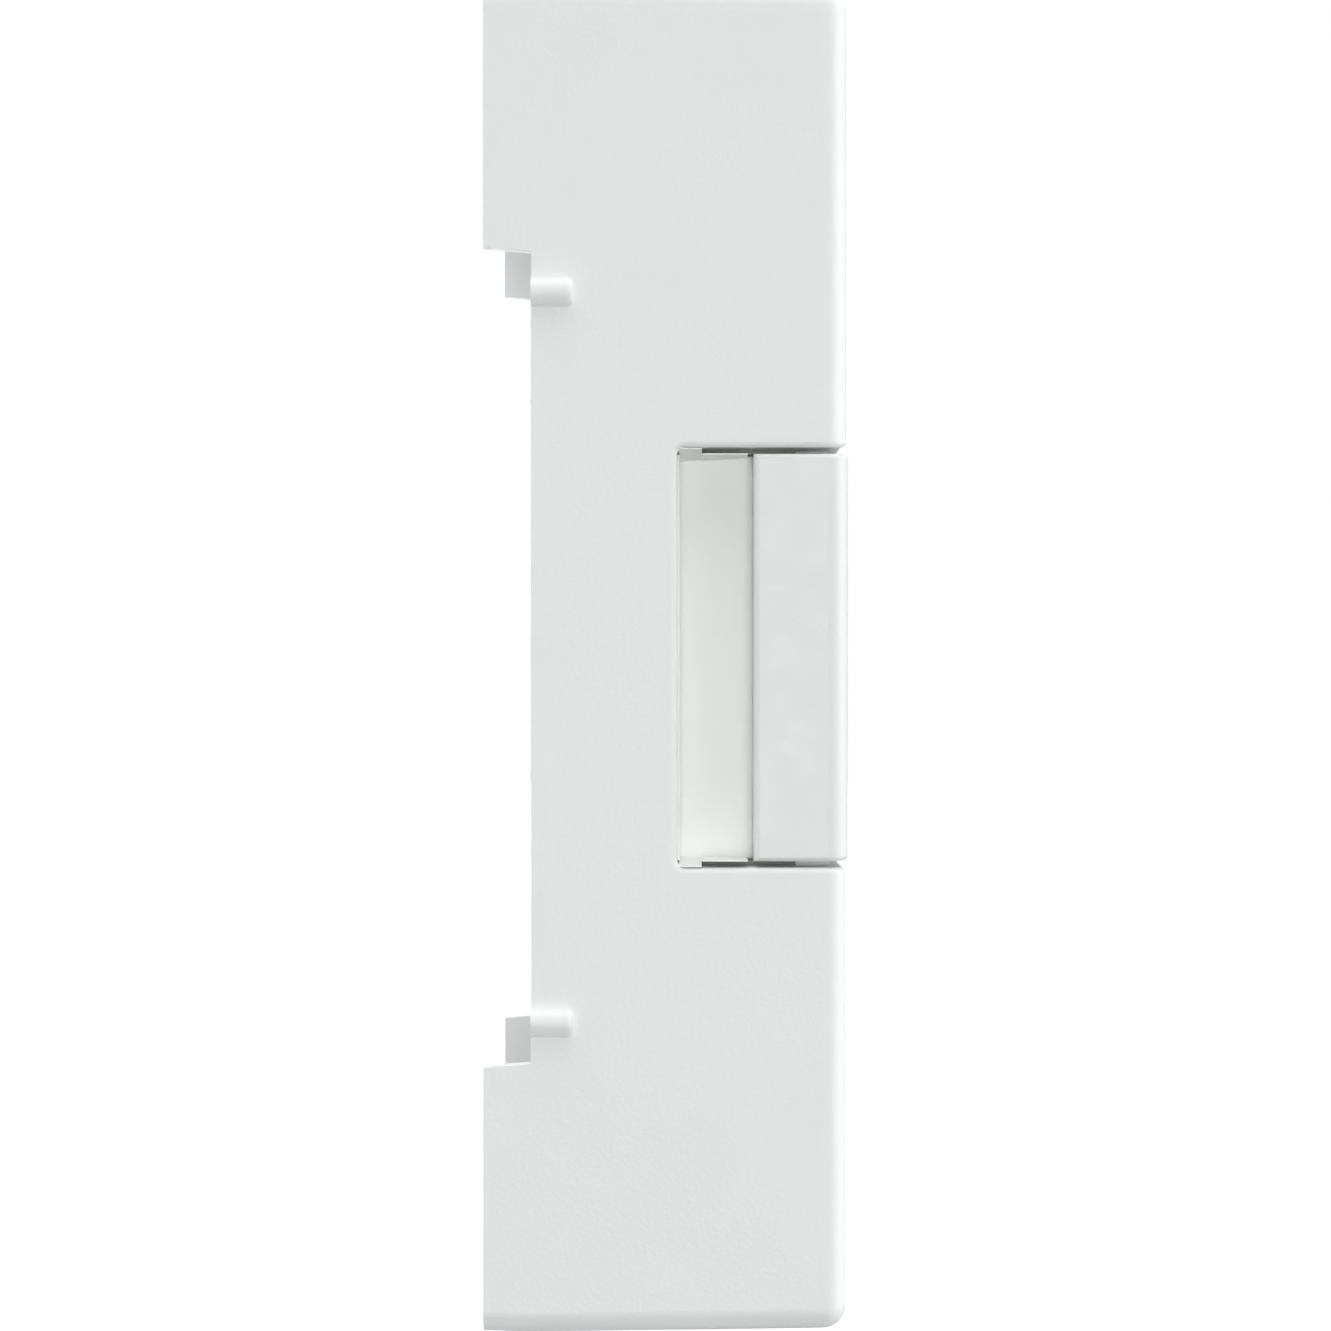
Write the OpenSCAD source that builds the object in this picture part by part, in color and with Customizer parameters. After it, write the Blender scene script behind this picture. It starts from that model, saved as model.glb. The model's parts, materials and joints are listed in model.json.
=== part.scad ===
// Video doorbell with a wrap-around call button.
// Millimetres. Origin: centre of the wall plane. Front faces -Y, +Z is up, X runs across the width.

/* [Housing] */
// Width across the side walls
body_w = 50; // [49:0.5:53]
// Height of the housing
body_h = 135.5; // [133:0.5:140]
// Depth from the wall plane to the front face
body_d = 36.4; // [36:0.1:37]
// Thickness of the moulded walls
wall = 2; // [1.8:0.1:2.1]
// Radius of the outer edges
edge_r = 2.3; // [2.1:0.1:2.6]

/* [Wall side] */
// Depth of the notch in each side wall, and of the recess behind the rear cover
notch_d = 4.8; // [4.6:0.1:5]
// Half height of the notch at the wall plane
notch_half = 41; // [40:0.5:42]
// How much narrower the notch is at its bottom, each end
notch_draft = 0.4; // [0.2:0.1:0.6]
// Height of the peg bosses above and below the middle
boss_z = 36.5; // [35:0.5:38]
// Radius of a peg boss
boss_r = 1.45; // [1.4:0.05:1.6]
// Length of a peg boss
boss_len = 4.2; // [4:0.1:5]
// Radius of a peg socket
socket_r = 0.9; // [0.8:0.05:0.95]

/* [Button] */
// Half height of the front cut-out
cut_half = 21; // [20.9:0.1:21.3]
// Depth from the wall plane to the rear edge of the cut-out
cut_d = 19.4; // [19.4:0.1:19.6]
// Gap between the button and the cut-out, above and below
button_gap = 0.6; // [0.5:0.1:0.7]
// How far the button stands proud of the front face
button_proud = 0.2; // [0.1:0.05:0.3]
// Depth of the button block along each side, front to rear
button_d = 9.4; // [9:0.1:9.5]
// Travel of the button
button_travel = 0.5; // [0.3:0.05:0.55]
// Outer radius of the light ring
ring_r = 12.4; // [11.5:0.1:12.5]
// Width of the light ring
ring_w = 2.2; // [1.8:0.1:2.4]

/* [Camera and sensors] */
// Height of the camera axis
camera_z = 43.5; // [43:0.5:44]
// Width of the camera window
window_w = 34; // [32:0.5:36]
// Height of the camera window
window_h = 30; // [28:0.5:31]
// Height of the motion sensor axis, below the middle
pir_z = -31.5; // [-32:0.5:-31]
// Radius of the motion sensor's lens
pir_r = 6.5; // [6:0.1:6.8]
// Height of the speaker axis, below the middle
speaker_z = -52; // [-52.5:0.5:-51.5]
// Radius of the speaker
speaker_r = 11; // [10:0.5:11]
// Radius of a grille hole
grille_hole_r = 0.7; // [0.5:0.05:0.8]
// Distance between grille holes
grille_pitch = 2.4; // [2.2:0.1:2.8]

/* [Hidden] */
$fn = 48;
CUT = 1;

half_w = body_w / 2;
half_h = body_h / 2;
in_w = half_w - wall;
in_h = half_h - wall;
front_y = -body_d;
inner_front_y = front_y + wall;

// rear cover, seal and cover bosses
cover_rear_y = -notch_d;
cover_t = 2;
cover_front_y = cover_rear_y - cover_t;
cover_gap = 0.1;
seal_t = 0.8;
seal_w = 1.2;
ledge_y = cover_front_y - seal_t;
ledge_t = 1.4;
cover_boss_x = 19.2;
cover_boss_r = 2.2;
cover_boss_z = [-half_h + 5.75, 0, half_h - 5.75];
cover_boss_front_y = -17.9;
pilot_r = 0.8;
clear_r = 1.15;
screw_r = 0.75;
head_r = 1.9;
head_h = 1.1;

// main board
board_rear_y = -12;
board_t = 1.2;
board_front_y = board_rear_y - board_t;
board_w = 33.6;
board_h = 118;
board_screw_x = 13.5;
board_screw_z = 55;
bar_t = 3;
bar_h = 5;
bar_front_y = -22;

// button frame
frame_half = cut_half - button_gap;
shelf_t = 1.5;
cut_r = 0.8;
floor_x = 19.4;
frame_wall = 1.5;
frame_plate_front_y = -30.5;
frame_plate_t = 2;
frame_plate_rear_y = frame_plate_front_y + frame_plate_t;
frame_rear_y = -18.2;
pocket_rear_y = -(cut_d + 0.3);
wing_x = half_w - 0.1;
wing_t = 0.8;
rim_rear_y = -(cut_d + 0.05);
rim_front_y = -(cut_d + 2.5);
button_front_y = front_y - button_proud;
button_inner_y = button_front_y + wall;
button_rear_y = button_front_y + button_d;
wing_front_y = button_rear_y + button_travel + 0.1;
ear_in_x = floor_x;
ear_out_x = in_w - 0.1;
ear_rear_y = -14.7;
ear_low_z = 12;
ear_screw_x = 21;
ear_screw_z = 16;
lug_front_y = ear_rear_y + 0.1;
lug_t = 1.6;

// button pieces
pin_x = 15.5;
pin_z = 14.5;
pin_r = 1.5;
run_fit = 0.05;
pin_end_y = frame_plate_rear_y - button_travel - 0.1;
spring_wire_r = 0.25;
spring_r = 2;
spring_turns = 4;
hook_x = 8;
hook_w = 5;
hook_z = 17.3;
hook_t = 1.1;
hook_lip = 1;
hook_slot_h = 1.8;
cap_r = ring_r - ring_w - 0.05;
cap_rear_y = button_front_y + 2.2;
actuator_r = 2.2;
button_board_t = 1;
button_board_front_y = frame_plate_front_y - button_board_t;
button_board_w = 26;
flex_w = 7;
flex_t = 0.15;
flex_z = -15.3;
switch_h = 1.5;
switch_front_y = button_board_front_y - switch_h;
plunger_r = 1.3;
plunger_front_y = switch_front_y - 0.6;
led_ring_r = 11.3;
led_count = 8;
led_h = 0.7;

// camera
glass_rebate_y = front_y + 1.2;
glass_t = 1;
glass_front_y = front_y + 0.05;
glass_rear_y = glass_front_y + glass_t;
glass_corner_r = 8;
opening_w = window_w - 4;
opening_h = window_h - 4;
opening_r = 6;
ir_board_t = 0.8;
ir_hole_r = 8;
shroud_r = 7.5;
barrel_r = 6.4;
barrel_rear_r = 5;
barrel_front_y = -34.7;
barrel_step_y = -31;
barrel_rear_y = -22;
lens_r = 5.2;
holder_tube_r = 7;
holder_front_y = -29;
holder_top_y = -22.6;
holder_size = 14;
camera_board_front_y = bar_front_y + bar_t;
camera_board_t = 1;
camera_screw_x = 7;
camera_screw_z = 11.5;

// motion sensor, microphone, speaker
pir_opening_r = pir_r - 1;
sensor_board_front_y = -26.4;
sensor_board_t = 1;
sensor_post_x = 9;
mic_x = 14.5;
grille_r = 8.2;
mesh_r = 10.4;
mesh_t = 0.25;
rim_w = 1.6;
speaker_front_y = inner_front_y + 0.8;
speaker_d = 5.2;
chamber_rear_y = -22.3;
chamber_wall = 1.2;

// power
battery_w = 33.4;
battery_h = 30;
battery_rear_y = -16.2;
foam_t = 1;

// rear side controls
service_z = -52;
usb_w = 9;
usb_h = 3.2;
usb_corner_r = 1.5;
flap_w = 13;
flap_low_z = -56.4;
flap_t = 1.4;
hinge_y = -4.0;
hinge_z = -47.4;
hinge_r = 1.15;
hinge_pin_r = 0.6;
hinge_ear_t = 1.6;
reset_x = 11;
reset_z = -46.5;
reset_r = 1.8;
reset_travel = 0.4;
tamper_x = 8;
tamper_z = 49.5;
tamper_r = 1.5;
tamper_travel = 1.5;
flange_y = -8;
tamper_switch_y = flange_y - tamper_travel - 1.4;
vent_x = -11;
vent_r = 2.5;
vent_depth = 0.5;
vent_t = 0.3;
vent_hole_r = 0.8;
terminal_z = -29;
terminal_w = 21;
terminal_h = 9;
terminal_x = 5.4;
terminal_rear_y = -6;
terminal_screw_r = 1.45;
screw_hole_y = -notch_d / 2;
screw_hole_r = 1.3;

// ---------------------------------------------------------------- shared shapes

// box between two corners
module slab(low, high) {
    translate(low) cube(high - low);
}

// the same shape on the left and on the right
module both_sides() {
    children();
    mirror([1, 0, 0]) children();
}

// the same shape above and below the middle
module both_ends() {
    children();
    mirror([0, 0, 1]) children();
}

// round bar along Y, from front to rear
module bar_y(r, front, rear, x = 0, z = 0) {
    translate([x, rear, z]) rotate([90, 0, 0]) cylinder(r = r, h = rear - front);
}

// ring along Y
module ring_y(r, hole_r, front, rear, x = 0, z = 0) {
    difference() {
        bar_y(r, front, rear, x, z);
        bar_y(hole_r, front - CUT, rear + CUT, x, z);
    }
}

// plate that faces front and rear, with rounded corners
module plate(w, h, front, rear, x = 0, z = 0, r = 0) {
    if (r > 0) {
        slab([x - w / 2 + r, front, z - h / 2], [x + w / 2 - r, rear, z + h / 2]);
        slab([x - w / 2, front, z - h / 2 + r], [x + w / 2, rear, z + h / 2 - r]);
        for (sx = [-1, 1], sz = [-1, 1])
            bar_y(r, front, rear, x + sx * (w / 2 - r), z + sz * (h / 2 - r));
    } else {
        slab([x - w / 2, front, z - h / 2], [x + w / 2, rear, z + h / 2]);
    }
}

// pan head screw along Y with its head at the rear
module screw_y(x, z, seat, len, r = screw_r, hr = head_r, hh = head_h) {
    difference() {
        union() {
            bar_y(r, seat - len, seat, x, z);
            bar_y(hr, seat, seat + hh, x, z);
        }
        slab([x - hr * 0.6, seat + hh * 0.5, z - 0.2], [x + hr * 0.6, seat + hh + CUT, z + 0.2]);
        slab([x - 0.2, seat + hh * 0.5, z - hr * 0.6], [x + 0.2, seat + hh + CUT, z + hr * 0.6]);
    }
}

// point on the wire of a coil spring: step i of n along the coil, side k of m around the wire
function coil_point(r, wire, turns, len, i, n, k, m) =
    let (turn = 360 * turns * i / n, side = 360 * k / m, reach = r + wire * cos(side))
    [reach * cos(turn), len * i / n + wire * sin(side), reach * sin(turn)];

// coil spring along Y, its wire centred from front to front + len
module coil_y(r, wire, turns, front, len, x = 0, z = 0) {
    n = 10 * turns;
    m = 6;
    points = [for (i = [0 : n], k = [0 : m - 1]) coil_point(r, wire, turns, len, i, n, k, m)];
    sides = [for (i = [0 : n - 1], k = [0 : m - 1])
        [i * m + k, i * m + (k + 1) % m, (i + 1) * m + (k + 1) % m, (i + 1) * m + k]];
    first = [for (k = [m - 1 : -1 : 0]) k];
    last = [for (k = [0 : m - 1]) n * m + k];
    translate([x, front, z]) polyhedron(points, concat(sides, [first, last]), convexity = 8);
}

// ---------------------------------------------------------------- housing

// solid with rounded long edges and a rounded front, and a sharp rear rim
module rounded_block(w, h, front, rear, r) {
    hx = w / 2 - r;
    hz = h / 2 - r;
    slab([-hx, front, -hz], [hx, rear, hz]);
    slab([-w / 2, front + r, -hz], [w / 2, rear, hz]);
    slab([-hx, front + r, -h / 2], [hx, rear, h / 2]);
    for (sx = [-1, 1], sz = [-1, 1]) {
        bar_y(r, front + r, rear, sx * hx, sz * hz);
        translate([sx * hx, front + r, sz * hz]) sphere(r = r);
    }
    for (sx = [-1, 1])
        translate([sx * hx, front + r, -hz]) cylinder(r = r, h = 2 * hz);
    for (sz = [-1, 1])
        translate([-hx, front + r, sz * hz]) rotate([0, 90, 0]) cylinder(r = r, h = 2 * hx);
}

// wide opening for the button, right across the front and both sides, with rounded rear corners
module front_cut() {
    r = cut_r;
    slab([-half_w - 3, front_y - CUT, -cut_half], [half_w + 3, -cut_d - r, cut_half]);
    slab([-half_w - 3, front_y - CUT, -cut_half + r], [half_w + 3, -cut_d, cut_half - r]);
    for (sz = [-1, 1])
        translate([-half_w - 3, -cut_d - r, sz * (cut_half - r)])
            rotate([0, 90, 0]) cylinder(r = r, h = body_w + 6);
}

// notch through both side walls at the wall plane, a little narrower at its bottom
module rear_notch() {
    bottom = notch_half - notch_draft;
    over = notch_half + notch_draft * CUT / notch_d;
    translate([-half_w - 3, 0, 0]) rotate([90, 0, 90]) linear_extrude(body_w + 6)
        polygon([[-notch_d, -bottom], [CUT, -over], [CUT, over], [-notch_d, bottom]]);
}

// holes of the speaker grille, in staggered rows inside a circle
module grille_holes() {
    row = grille_pitch * sqrt(3) / 2;
    for (j = [-4 : 4], i = [-4 : 4]) {
        x = (i + (j % 2 == 0 ? 0 : 0.5)) * grille_pitch;
        z = j * row;
        if (norm([x, z]) < grille_r)
            bar_y(grille_hole_r, front_y - CUT, inner_front_y + CUT, x, speaker_z + z);
    }
}

// openings in the front wall for the camera, the motion sensor, the speaker and the microphone
module front_openings() {
    plate(window_w, window_h, front_y - CUT, glass_rebate_y, 0, camera_z, glass_corner_r);
    plate(opening_w, opening_h, front_y, inner_front_y + CUT, 0, camera_z, opening_r);
    bar_y(pir_r + 0.1, front_y - CUT, front_y + 1, 0, pir_z);
    bar_y(pir_opening_r, front_y, inner_front_y + CUT, 0, pir_z);
    bar_y(0.6, front_y - CUT, inner_front_y + CUT, mic_x, pir_z);
    grille_holes();
}

// inner walls and bosses of the housing, all joined to its side walls or front wall
module housing_ribs() {
    both_ends() slab([-in_w, inner_front_y, cut_half], [in_w, lug_front_y, cut_half + shelf_t]);
    both_ends() both_sides() {
        slab([ear_in_x - 0.8, lug_front_y, ear_low_z + 0.5], [in_w, lug_front_y + lug_t, cut_half + shelf_t]);
        bar_y(2.2, bar_front_y, board_front_y, board_screw_x, board_screw_z);
        bar_y(cover_boss_r, -22, cover_front_y, cover_boss_x, cover_boss_z[2]);
        slab([cover_boss_x, -22, cover_boss_z[2] - 0.7], [in_w, ledge_y, cover_boss_z[2] + 0.7]);
    }
    both_sides() {
        bar_y(cover_boss_r, cover_boss_front_y, cover_front_y, cover_boss_x, 0);
        slab([cover_boss_x, cover_boss_front_y, -0.7], [in_w, ledge_y, 0.7]);
        bar_y(2, inner_front_y, sensor_board_front_y, sensor_post_x, pir_z);
    }
    for (z = [camera_z + camera_screw_z, camera_z - camera_screw_z, -board_screw_z])
        slab([-in_w, bar_front_y, z - bar_h / 2], [in_w, bar_front_y + bar_t, z + bar_h / 2]);
    difference() {
        plate(2 * in_w, 2 * in_h, ledge_y - ledge_t, ledge_y);
        plate(2 * (in_w - seal_w - 0.2), 2 * (in_h - seal_w - 0.2), ledge_y - 2 * ledge_t, ledge_y + CUT);
    }
}

// screw holes of the housing
module housing_screw_holes() {
    both_sides() {
        for (z = cover_boss_z)
            bar_y(pilot_r, cover_front_y - 7, cover_front_y + CUT, cover_boss_x, z);
        both_ends() {
            bar_y(clear_r, lug_front_y - CUT, lug_front_y + lug_t + CUT, ear_screw_x, ear_screw_z);
            bar_y(pilot_r, board_front_y - 6, board_front_y + CUT, board_screw_x, board_screw_z);
        }
        for (sz = [-1, 1])
            bar_y(pilot_r, bar_front_y - CUT, bar_front_y + bar_t + CUT,
                camera_screw_x, camera_z + sz * camera_screw_z);
        bar_y(pilot_r, sensor_board_front_y - 4, sensor_board_front_y + CUT, sensor_post_x, pir_z);
    }
}

module front_housing() color([0.94, 0.95, 0.94]) difference() {
    union() {
        difference() {
            rounded_block(body_w, body_h, front_y, 0, edge_r);
            slab([-in_w, inner_front_y, -in_h], [in_w, CUT, in_h]);
        }
        housing_ribs();
        for (sx = [-1, 1], sz = [-1, 1])
            bar_y(boss_r, -notch_d - boss_len, -notch_d, sx * half_w, sz * boss_z);
    }
    front_cut();
    rear_notch();
    front_openings();
    housing_screw_holes();
    for (sx = [-1, 1], sz = [-1, 1])
        bar_y(socket_r, -notch_d - boss_len + 0.8, -notch_d + CUT, sx * (half_w - 0.4), sz * boss_z);
    translate([0, screw_hole_y, -half_h - CUT]) cylinder(r = screw_hole_r, h = wall + 2 * CUT);
}

// ---------------------------------------------------------------- rear cover

// openings of the rear cover for the terminals, the socket and the controls
module cover_openings() {
    plate(terminal_w + 0.6, terminal_h + 0.6, cover_front_y - CUT, CUT, 0, terminal_z, 1);
    plate(usb_w + 0.6, usb_h + 0.6, cover_front_y - CUT, CUT, 0, service_z, usb_corner_r);
    bar_y(reset_r + run_fit, cover_front_y - CUT, CUT, reset_x, reset_z);
    bar_y(tamper_r + run_fit, cover_front_y - CUT, CUT, tamper_x, tamper_z);
    bar_y(vent_r, cover_rear_y - vent_depth, CUT, vent_x, service_z);
    bar_y(vent_hole_r, cover_front_y - CUT, CUT, vent_x, service_z);
    both_sides() for (z = cover_boss_z) {
        bar_y(clear_r, cover_front_y - CUT, CUT, cover_boss_x, z);
        bar_y(head_r + 0.2, cover_rear_y - head_h - 0.1, CUT, cover_boss_x, z);
    }
}

// hinge ears for the socket flap
module flap_ears() {
    inner = flap_w / 2 - hinge_ear_t;
    both_sides() difference() {
        union() {
            translate([inner, hinge_y, hinge_z]) rotate([0, 90, 0]) cylinder(r = hinge_r, h = hinge_ear_t);
            slab([inner, cover_rear_y, hinge_z - hinge_r], [inner + hinge_ear_t, hinge_y, hinge_z + hinge_r]);
        }
        translate([inner - CUT, hinge_y, hinge_z]) rotate([0, 90, 0])
            cylinder(r = hinge_pin_r + run_fit, h = hinge_ear_t + 2 * CUT);
    }
}

module rear_cover() color([0.9, 0.91, 0.9]) {
    difference() {
        plate(2 * (in_w - cover_gap), 2 * (in_h - cover_gap), cover_front_y, cover_rear_y);
        cover_openings();
    }
    flap_ears();
}

module cover_seal() color([0.2, 0.2, 0.2]) {
    w = 2 * (in_w - 0.2);
    h = 2 * (in_h - 0.2);
    difference() {
        plate(w, h, ledge_y, cover_front_y, 0, 0, 0.6);
        plate(w - 2 * seal_w, h - 2 * seal_w, ledge_y - CUT, cover_front_y + CUT, 0, 0, 0.4);
    }
}

module cover_screws() color("silver")
    both_sides() for (z = cover_boss_z)
        screw_y(cover_boss_x, z, cover_rear_y - head_h - 0.1, 6);

// ---------------------------------------------------------------- button and its frame

// thin wings that close each side recess above and below, with a taller rim at the rear
module frame_wings() {
    root_x = floor_x - 0.5;
    low_z = frame_half - wing_t;
    both_sides() both_ends() {
        slab([root_x, wing_front_y, low_z], [wing_x, rim_rear_y, frame_half]);
        slab([root_x, rim_front_y, low_z], [wing_x, rim_rear_y - cut_r, cut_half - 0.05]);
    }
}

// screw blocks at the rear corners of the frame
module frame_ears() {
    both_sides() both_ends() difference() {
        slab([ear_in_x, pocket_rear_y, ear_low_z], [ear_out_x, ear_rear_y, frame_half]);
        bar_y(pilot_r, ear_rear_y - 4, ear_rear_y + CUT, ear_screw_x, ear_screw_z);
    }
}

// box that is open to the rear, between the two side recesses
module frame_box() {
    w = 2 * floor_x;
    h = 2 * frame_half;
    difference() {
        plate(w, h, frame_plate_front_y, frame_rear_y);
        plate(w - 2 * frame_wall, h - 2 * frame_wall, frame_plate_rear_y, frame_rear_y + CUT);
    }
}

module button_frame() color([0.92, 0.93, 0.91]) difference() {
    union() {
        frame_box();
        both_sides()
            slab([floor_x - 0.5, pocket_rear_y, -frame_half], [ear_out_x, frame_rear_y, frame_half]);
        frame_wings();
        frame_ears();
    }
    for (sx = [-1, 1], sz = [-1, 1]) {
        bar_y(pin_r + run_fit, frame_plate_front_y - CUT, frame_plate_rear_y + CUT, sx * pin_x, sz * pin_z);
        plate(hook_w + 0.4, hook_slot_h, frame_plate_front_y - CUT, frame_plate_rear_y + CUT,
            sx * hook_x, sz * (hook_z + 0.4));
    }
    plate(flex_w + 1.4, flex_t + 1.2, frame_plate_front_y - CUT, frame_plate_rear_y + CUT, 0, flex_z);
}

module frame_screws() color("silver")
    both_sides() both_ends() screw_y(ear_screw_x, ear_screw_z, lug_front_y + lug_t, 5);

// button block: front wall, side skirts and narrow top and bottom skirts
module button_shell() {
    flat_x = half_w - edge_r;
    round_y = button_front_y + edge_r;
    skirt_rear_y = frame_plate_front_y - button_travel - 0.2;
    difference() {
        union() {
            slab([-flat_x, button_front_y, -frame_half], [flat_x, button_rear_y, frame_half]);
            slab([-half_w, round_y, -frame_half], [half_w, button_rear_y, frame_half]);
            for (sx = [-1, 1])
                translate([sx * flat_x, round_y, -frame_half]) cylinder(r = edge_r, h = 2 * frame_half);
        }
        plate(2 * in_w, 2 * frame_half - 3, button_inner_y, button_rear_y + CUT);
        plate(2 * floor_x + 1, 2 * frame_half + 2 * CUT, skirt_rear_y, button_rear_y + CUT);
    }
}

// hook that holds the button in its frame: an arm with a lip behind the frame's plate
module button_hook(x, side) {
    end_y = frame_plate_rear_y + 0.9;
    plate(hook_w, hook_t, button_inner_y, end_y, x, side * (hook_z + hook_t / 2));
    plate(hook_w, hook_lip, frame_plate_rear_y + 0.05, end_y, x, side * (hook_z - hook_lip / 2));
}

module call_button() color([0.96, 0.97, 0.97]) difference() {
    union() {
        button_shell();
        for (sx = [-1, 1], sz = [-1, 1]) {
            bar_y(pin_r, button_inner_y, pin_end_y, sx * pin_x, sz * pin_z);
            button_hook(sx * hook_x, sz);
        }
    }
    bar_y(ring_r + 0.05, button_front_y - CUT, button_inner_y + CUT);
}

module button_light_ring() color([0.75, 0.88, 0.95]) {
    ring_y(ring_r, ring_r - ring_w, button_front_y, button_inner_y + 1.6);
    ring_y(ring_r + 0.5, ring_r - ring_w, button_inner_y + 0.05, button_inner_y + 0.8);
}

module button_cap() color([0.96, 0.97, 0.97]) {
    bar_y(cap_r, button_front_y, cap_rear_y);
    bar_y(actuator_r, cap_rear_y, plunger_front_y - 0.05);
}

module button_springs() color("silver")
    for (sx = [-1, 1], sz = [-1, 1])
        coil_y(spring_r, spring_wire_r, spring_turns, button_inner_y + 0.3,
            frame_plate_front_y - button_inner_y - 0.6, sx * pin_x, sz * pin_z);

module button_board() color([0.1, 0.4, 0.25])
    plate(button_board_w, button_board_w, button_board_front_y, frame_plate_front_y, 0, 0, 1.5);

module button_leds() color([1, 0.98, 0.85])
    for (i = [0 : led_count - 1]) {
        turn = 360 * (i + 0.5) / led_count;
        plate(1.6, 1.6, button_board_front_y - led_h, button_board_front_y,
            led_ring_r * cos(turn), led_ring_r * sin(turn));
    }

module switch_body() color([0.15, 0.15, 0.15]) difference() {
    plate(6, 6, switch_front_y, button_board_front_y);
    bar_y(plunger_r + run_fit, switch_front_y - CUT, button_board_front_y - 0.4);
}

module switch_plunger() color([0.85, 0.3, 0.2])
    bar_y(plunger_r, plunger_front_y, button_board_front_y - 0.4 - button_travel - 0.05);

// flat cable from the button board, through the frame, over the battery's end and back to the main board
module button_flex() color([0.75, 0.5, 0.15]) {
    low = [-flex_w / 2, button_board_front_y + 0.35, flex_z - flex_t / 2];
    slab(low, [flex_w / 2, low[1] + flex_t, -button_board_w / 2 - 0.05]);
    slab(low, [flex_w / 2, board_front_y - 0.05, flex_z + flex_t / 2]);
}

// ---------------------------------------------------------------- camera

module camera_window() color([0.05, 0.05, 0.06])
    plate(window_w - 0.2, window_h - 0.2, glass_front_y, glass_rear_y, 0, camera_z, glass_corner_r - 0.1);

module window_seal() color([0.1, 0.1, 0.1]) difference() {
    plate(window_w - 0.4, window_h - 0.4, glass_rear_y, glass_rebate_y, 0, camera_z, glass_corner_r - 0.2);
    plate(opening_w + 0.2, opening_h + 0.2, glass_rear_y - CUT, glass_rebate_y + CUT,
        0, camera_z, opening_r + 0.1);
}

module lens_shroud() color([0.08, 0.08, 0.08])
    ring_y(shroud_r, barrel_r + 0.1, glass_rear_y + 0.02, -32, 0, camera_z);

module lens_barrel() color([0.12, 0.12, 0.13]) difference() {
    union() {
        bar_y(barrel_r, barrel_front_y, barrel_step_y, 0, camera_z);
        bar_y(barrel_rear_r, barrel_step_y, barrel_rear_y, 0, camera_z);
    }
    bar_y(lens_r + 0.05, barrel_front_y - CUT, barrel_front_y + 1.9, 0, camera_z);
    bar_y(3.4, barrel_front_y, barrel_rear_y + CUT, 0, camera_z);
    bar_y(4, barrel_rear_y - 2, barrel_rear_y + CUT, 0, camera_z);
}

// front lens: a disc with a domed face, turned around the camera axis
module lens_front() color([0.3, 0.35, 0.5]) {
    dome_r = 14;
    tip = -barrel_front_y + 0.4;
    rear = -barrel_front_y - 1.9;
    edge = asin(lens_r / dome_r);
    arc = [for (i = [0 : 8]) [dome_r * sin(edge * i / 8), tip - dome_r * (1 - cos(edge * i / 8))]];
    translate([0, 0, camera_z]) rotate([90, 0, 0]) rotate_extrude()
        polygon(concat(arc, [[lens_r, rear], [0, rear]]));
}

module lens_rear() color([0.3, 0.35, 0.5])
    bar_y(3.95, barrel_rear_y - 1.95, barrel_rear_y - 0.2, 0, camera_z);

module lens_holder() color([0.1, 0.1, 0.1]) difference() {
    union() {
        bar_y(holder_tube_r, holder_front_y, holder_top_y + 0.5, 0, camera_z);
        plate(holder_size, holder_size, holder_top_y, camera_board_front_y, 0, camera_z, 0.8);
    }
    bar_y(barrel_rear_r + run_fit, holder_front_y - CUT, holder_top_y + 1.2, 0, camera_z);
    plate(holder_size - 2.6, holder_size - 2.6, holder_top_y + 1, camera_board_front_y + CUT, 0, camera_z);
}

module image_sensor() color([0.2, 0.22, 0.3])
    plate(8, 6.6, camera_board_front_y - 1.2, camera_board_front_y, 0, camera_z);

module camera_board() color([0.1, 0.4, 0.25]) difference() {
    plate(20, 28, camera_board_front_y, camera_board_front_y + camera_board_t, 0, camera_z, 1.5);
    for (sx = [-1, 1], sz = [-1, 1])
        bar_y(1, camera_board_front_y - CUT, camera_board_front_y + 2 * CUT,
            sx * camera_screw_x, camera_z + sz * camera_screw_z);
}

module camera_screws() color("silver")
    for (sx = [-1, 1], sz = [-1, 1])
        screw_y(sx * camera_screw_x, camera_z + sz * camera_screw_z,
            camera_board_front_y + camera_board_t, 3.6);

module camera_flex() color([0.75, 0.5, 0.15])
    plate(8, 12, camera_board_front_y + camera_board_t, board_front_y, 0, camera_z - 1, 0);

module ir_board() color([0.05, 0.05, 0.06]) difference() {
    plate(window_w - 1, window_h - 1, inner_front_y, inner_front_y + ir_board_t, 0, camera_z, opening_r);
    bar_y(ir_hole_r, inner_front_y - CUT, inner_front_y + ir_board_t + CUT, 0, camera_z);
}

module ir_leds() color([0.75, 0.75, 0.7])
    both_sides() for (z = [-7, 0, 7])
        plate(2.6, 2.6, inner_front_y - 0.75, inner_front_y, 11.6, camera_z + z, 0);

module light_sensor() color([0.8, 0.8, 0.75])
    plate(2, 1.6, inner_front_y - 0.7, inner_front_y, 0, camera_z + 10.4);

// ---------------------------------------------------------------- motion sensor, microphone

module pir_lens() color([0.93, 0.93, 0.9]) {
    bar_y(pir_r, front_y + 0.1, front_y + 0.98, 0, pir_z);
    ring_y(pir_opening_r - 0.1, pir_opening_r - 0.7, front_y + 0.98, front_y + 1.6, 0, pir_z);
}

module pir_shroud() color([0.1, 0.1, 0.1])
    ring_y(pir_opening_r - 0.75, 4.3, front_y + 1.1, -30.6, 0, pir_z);

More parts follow.
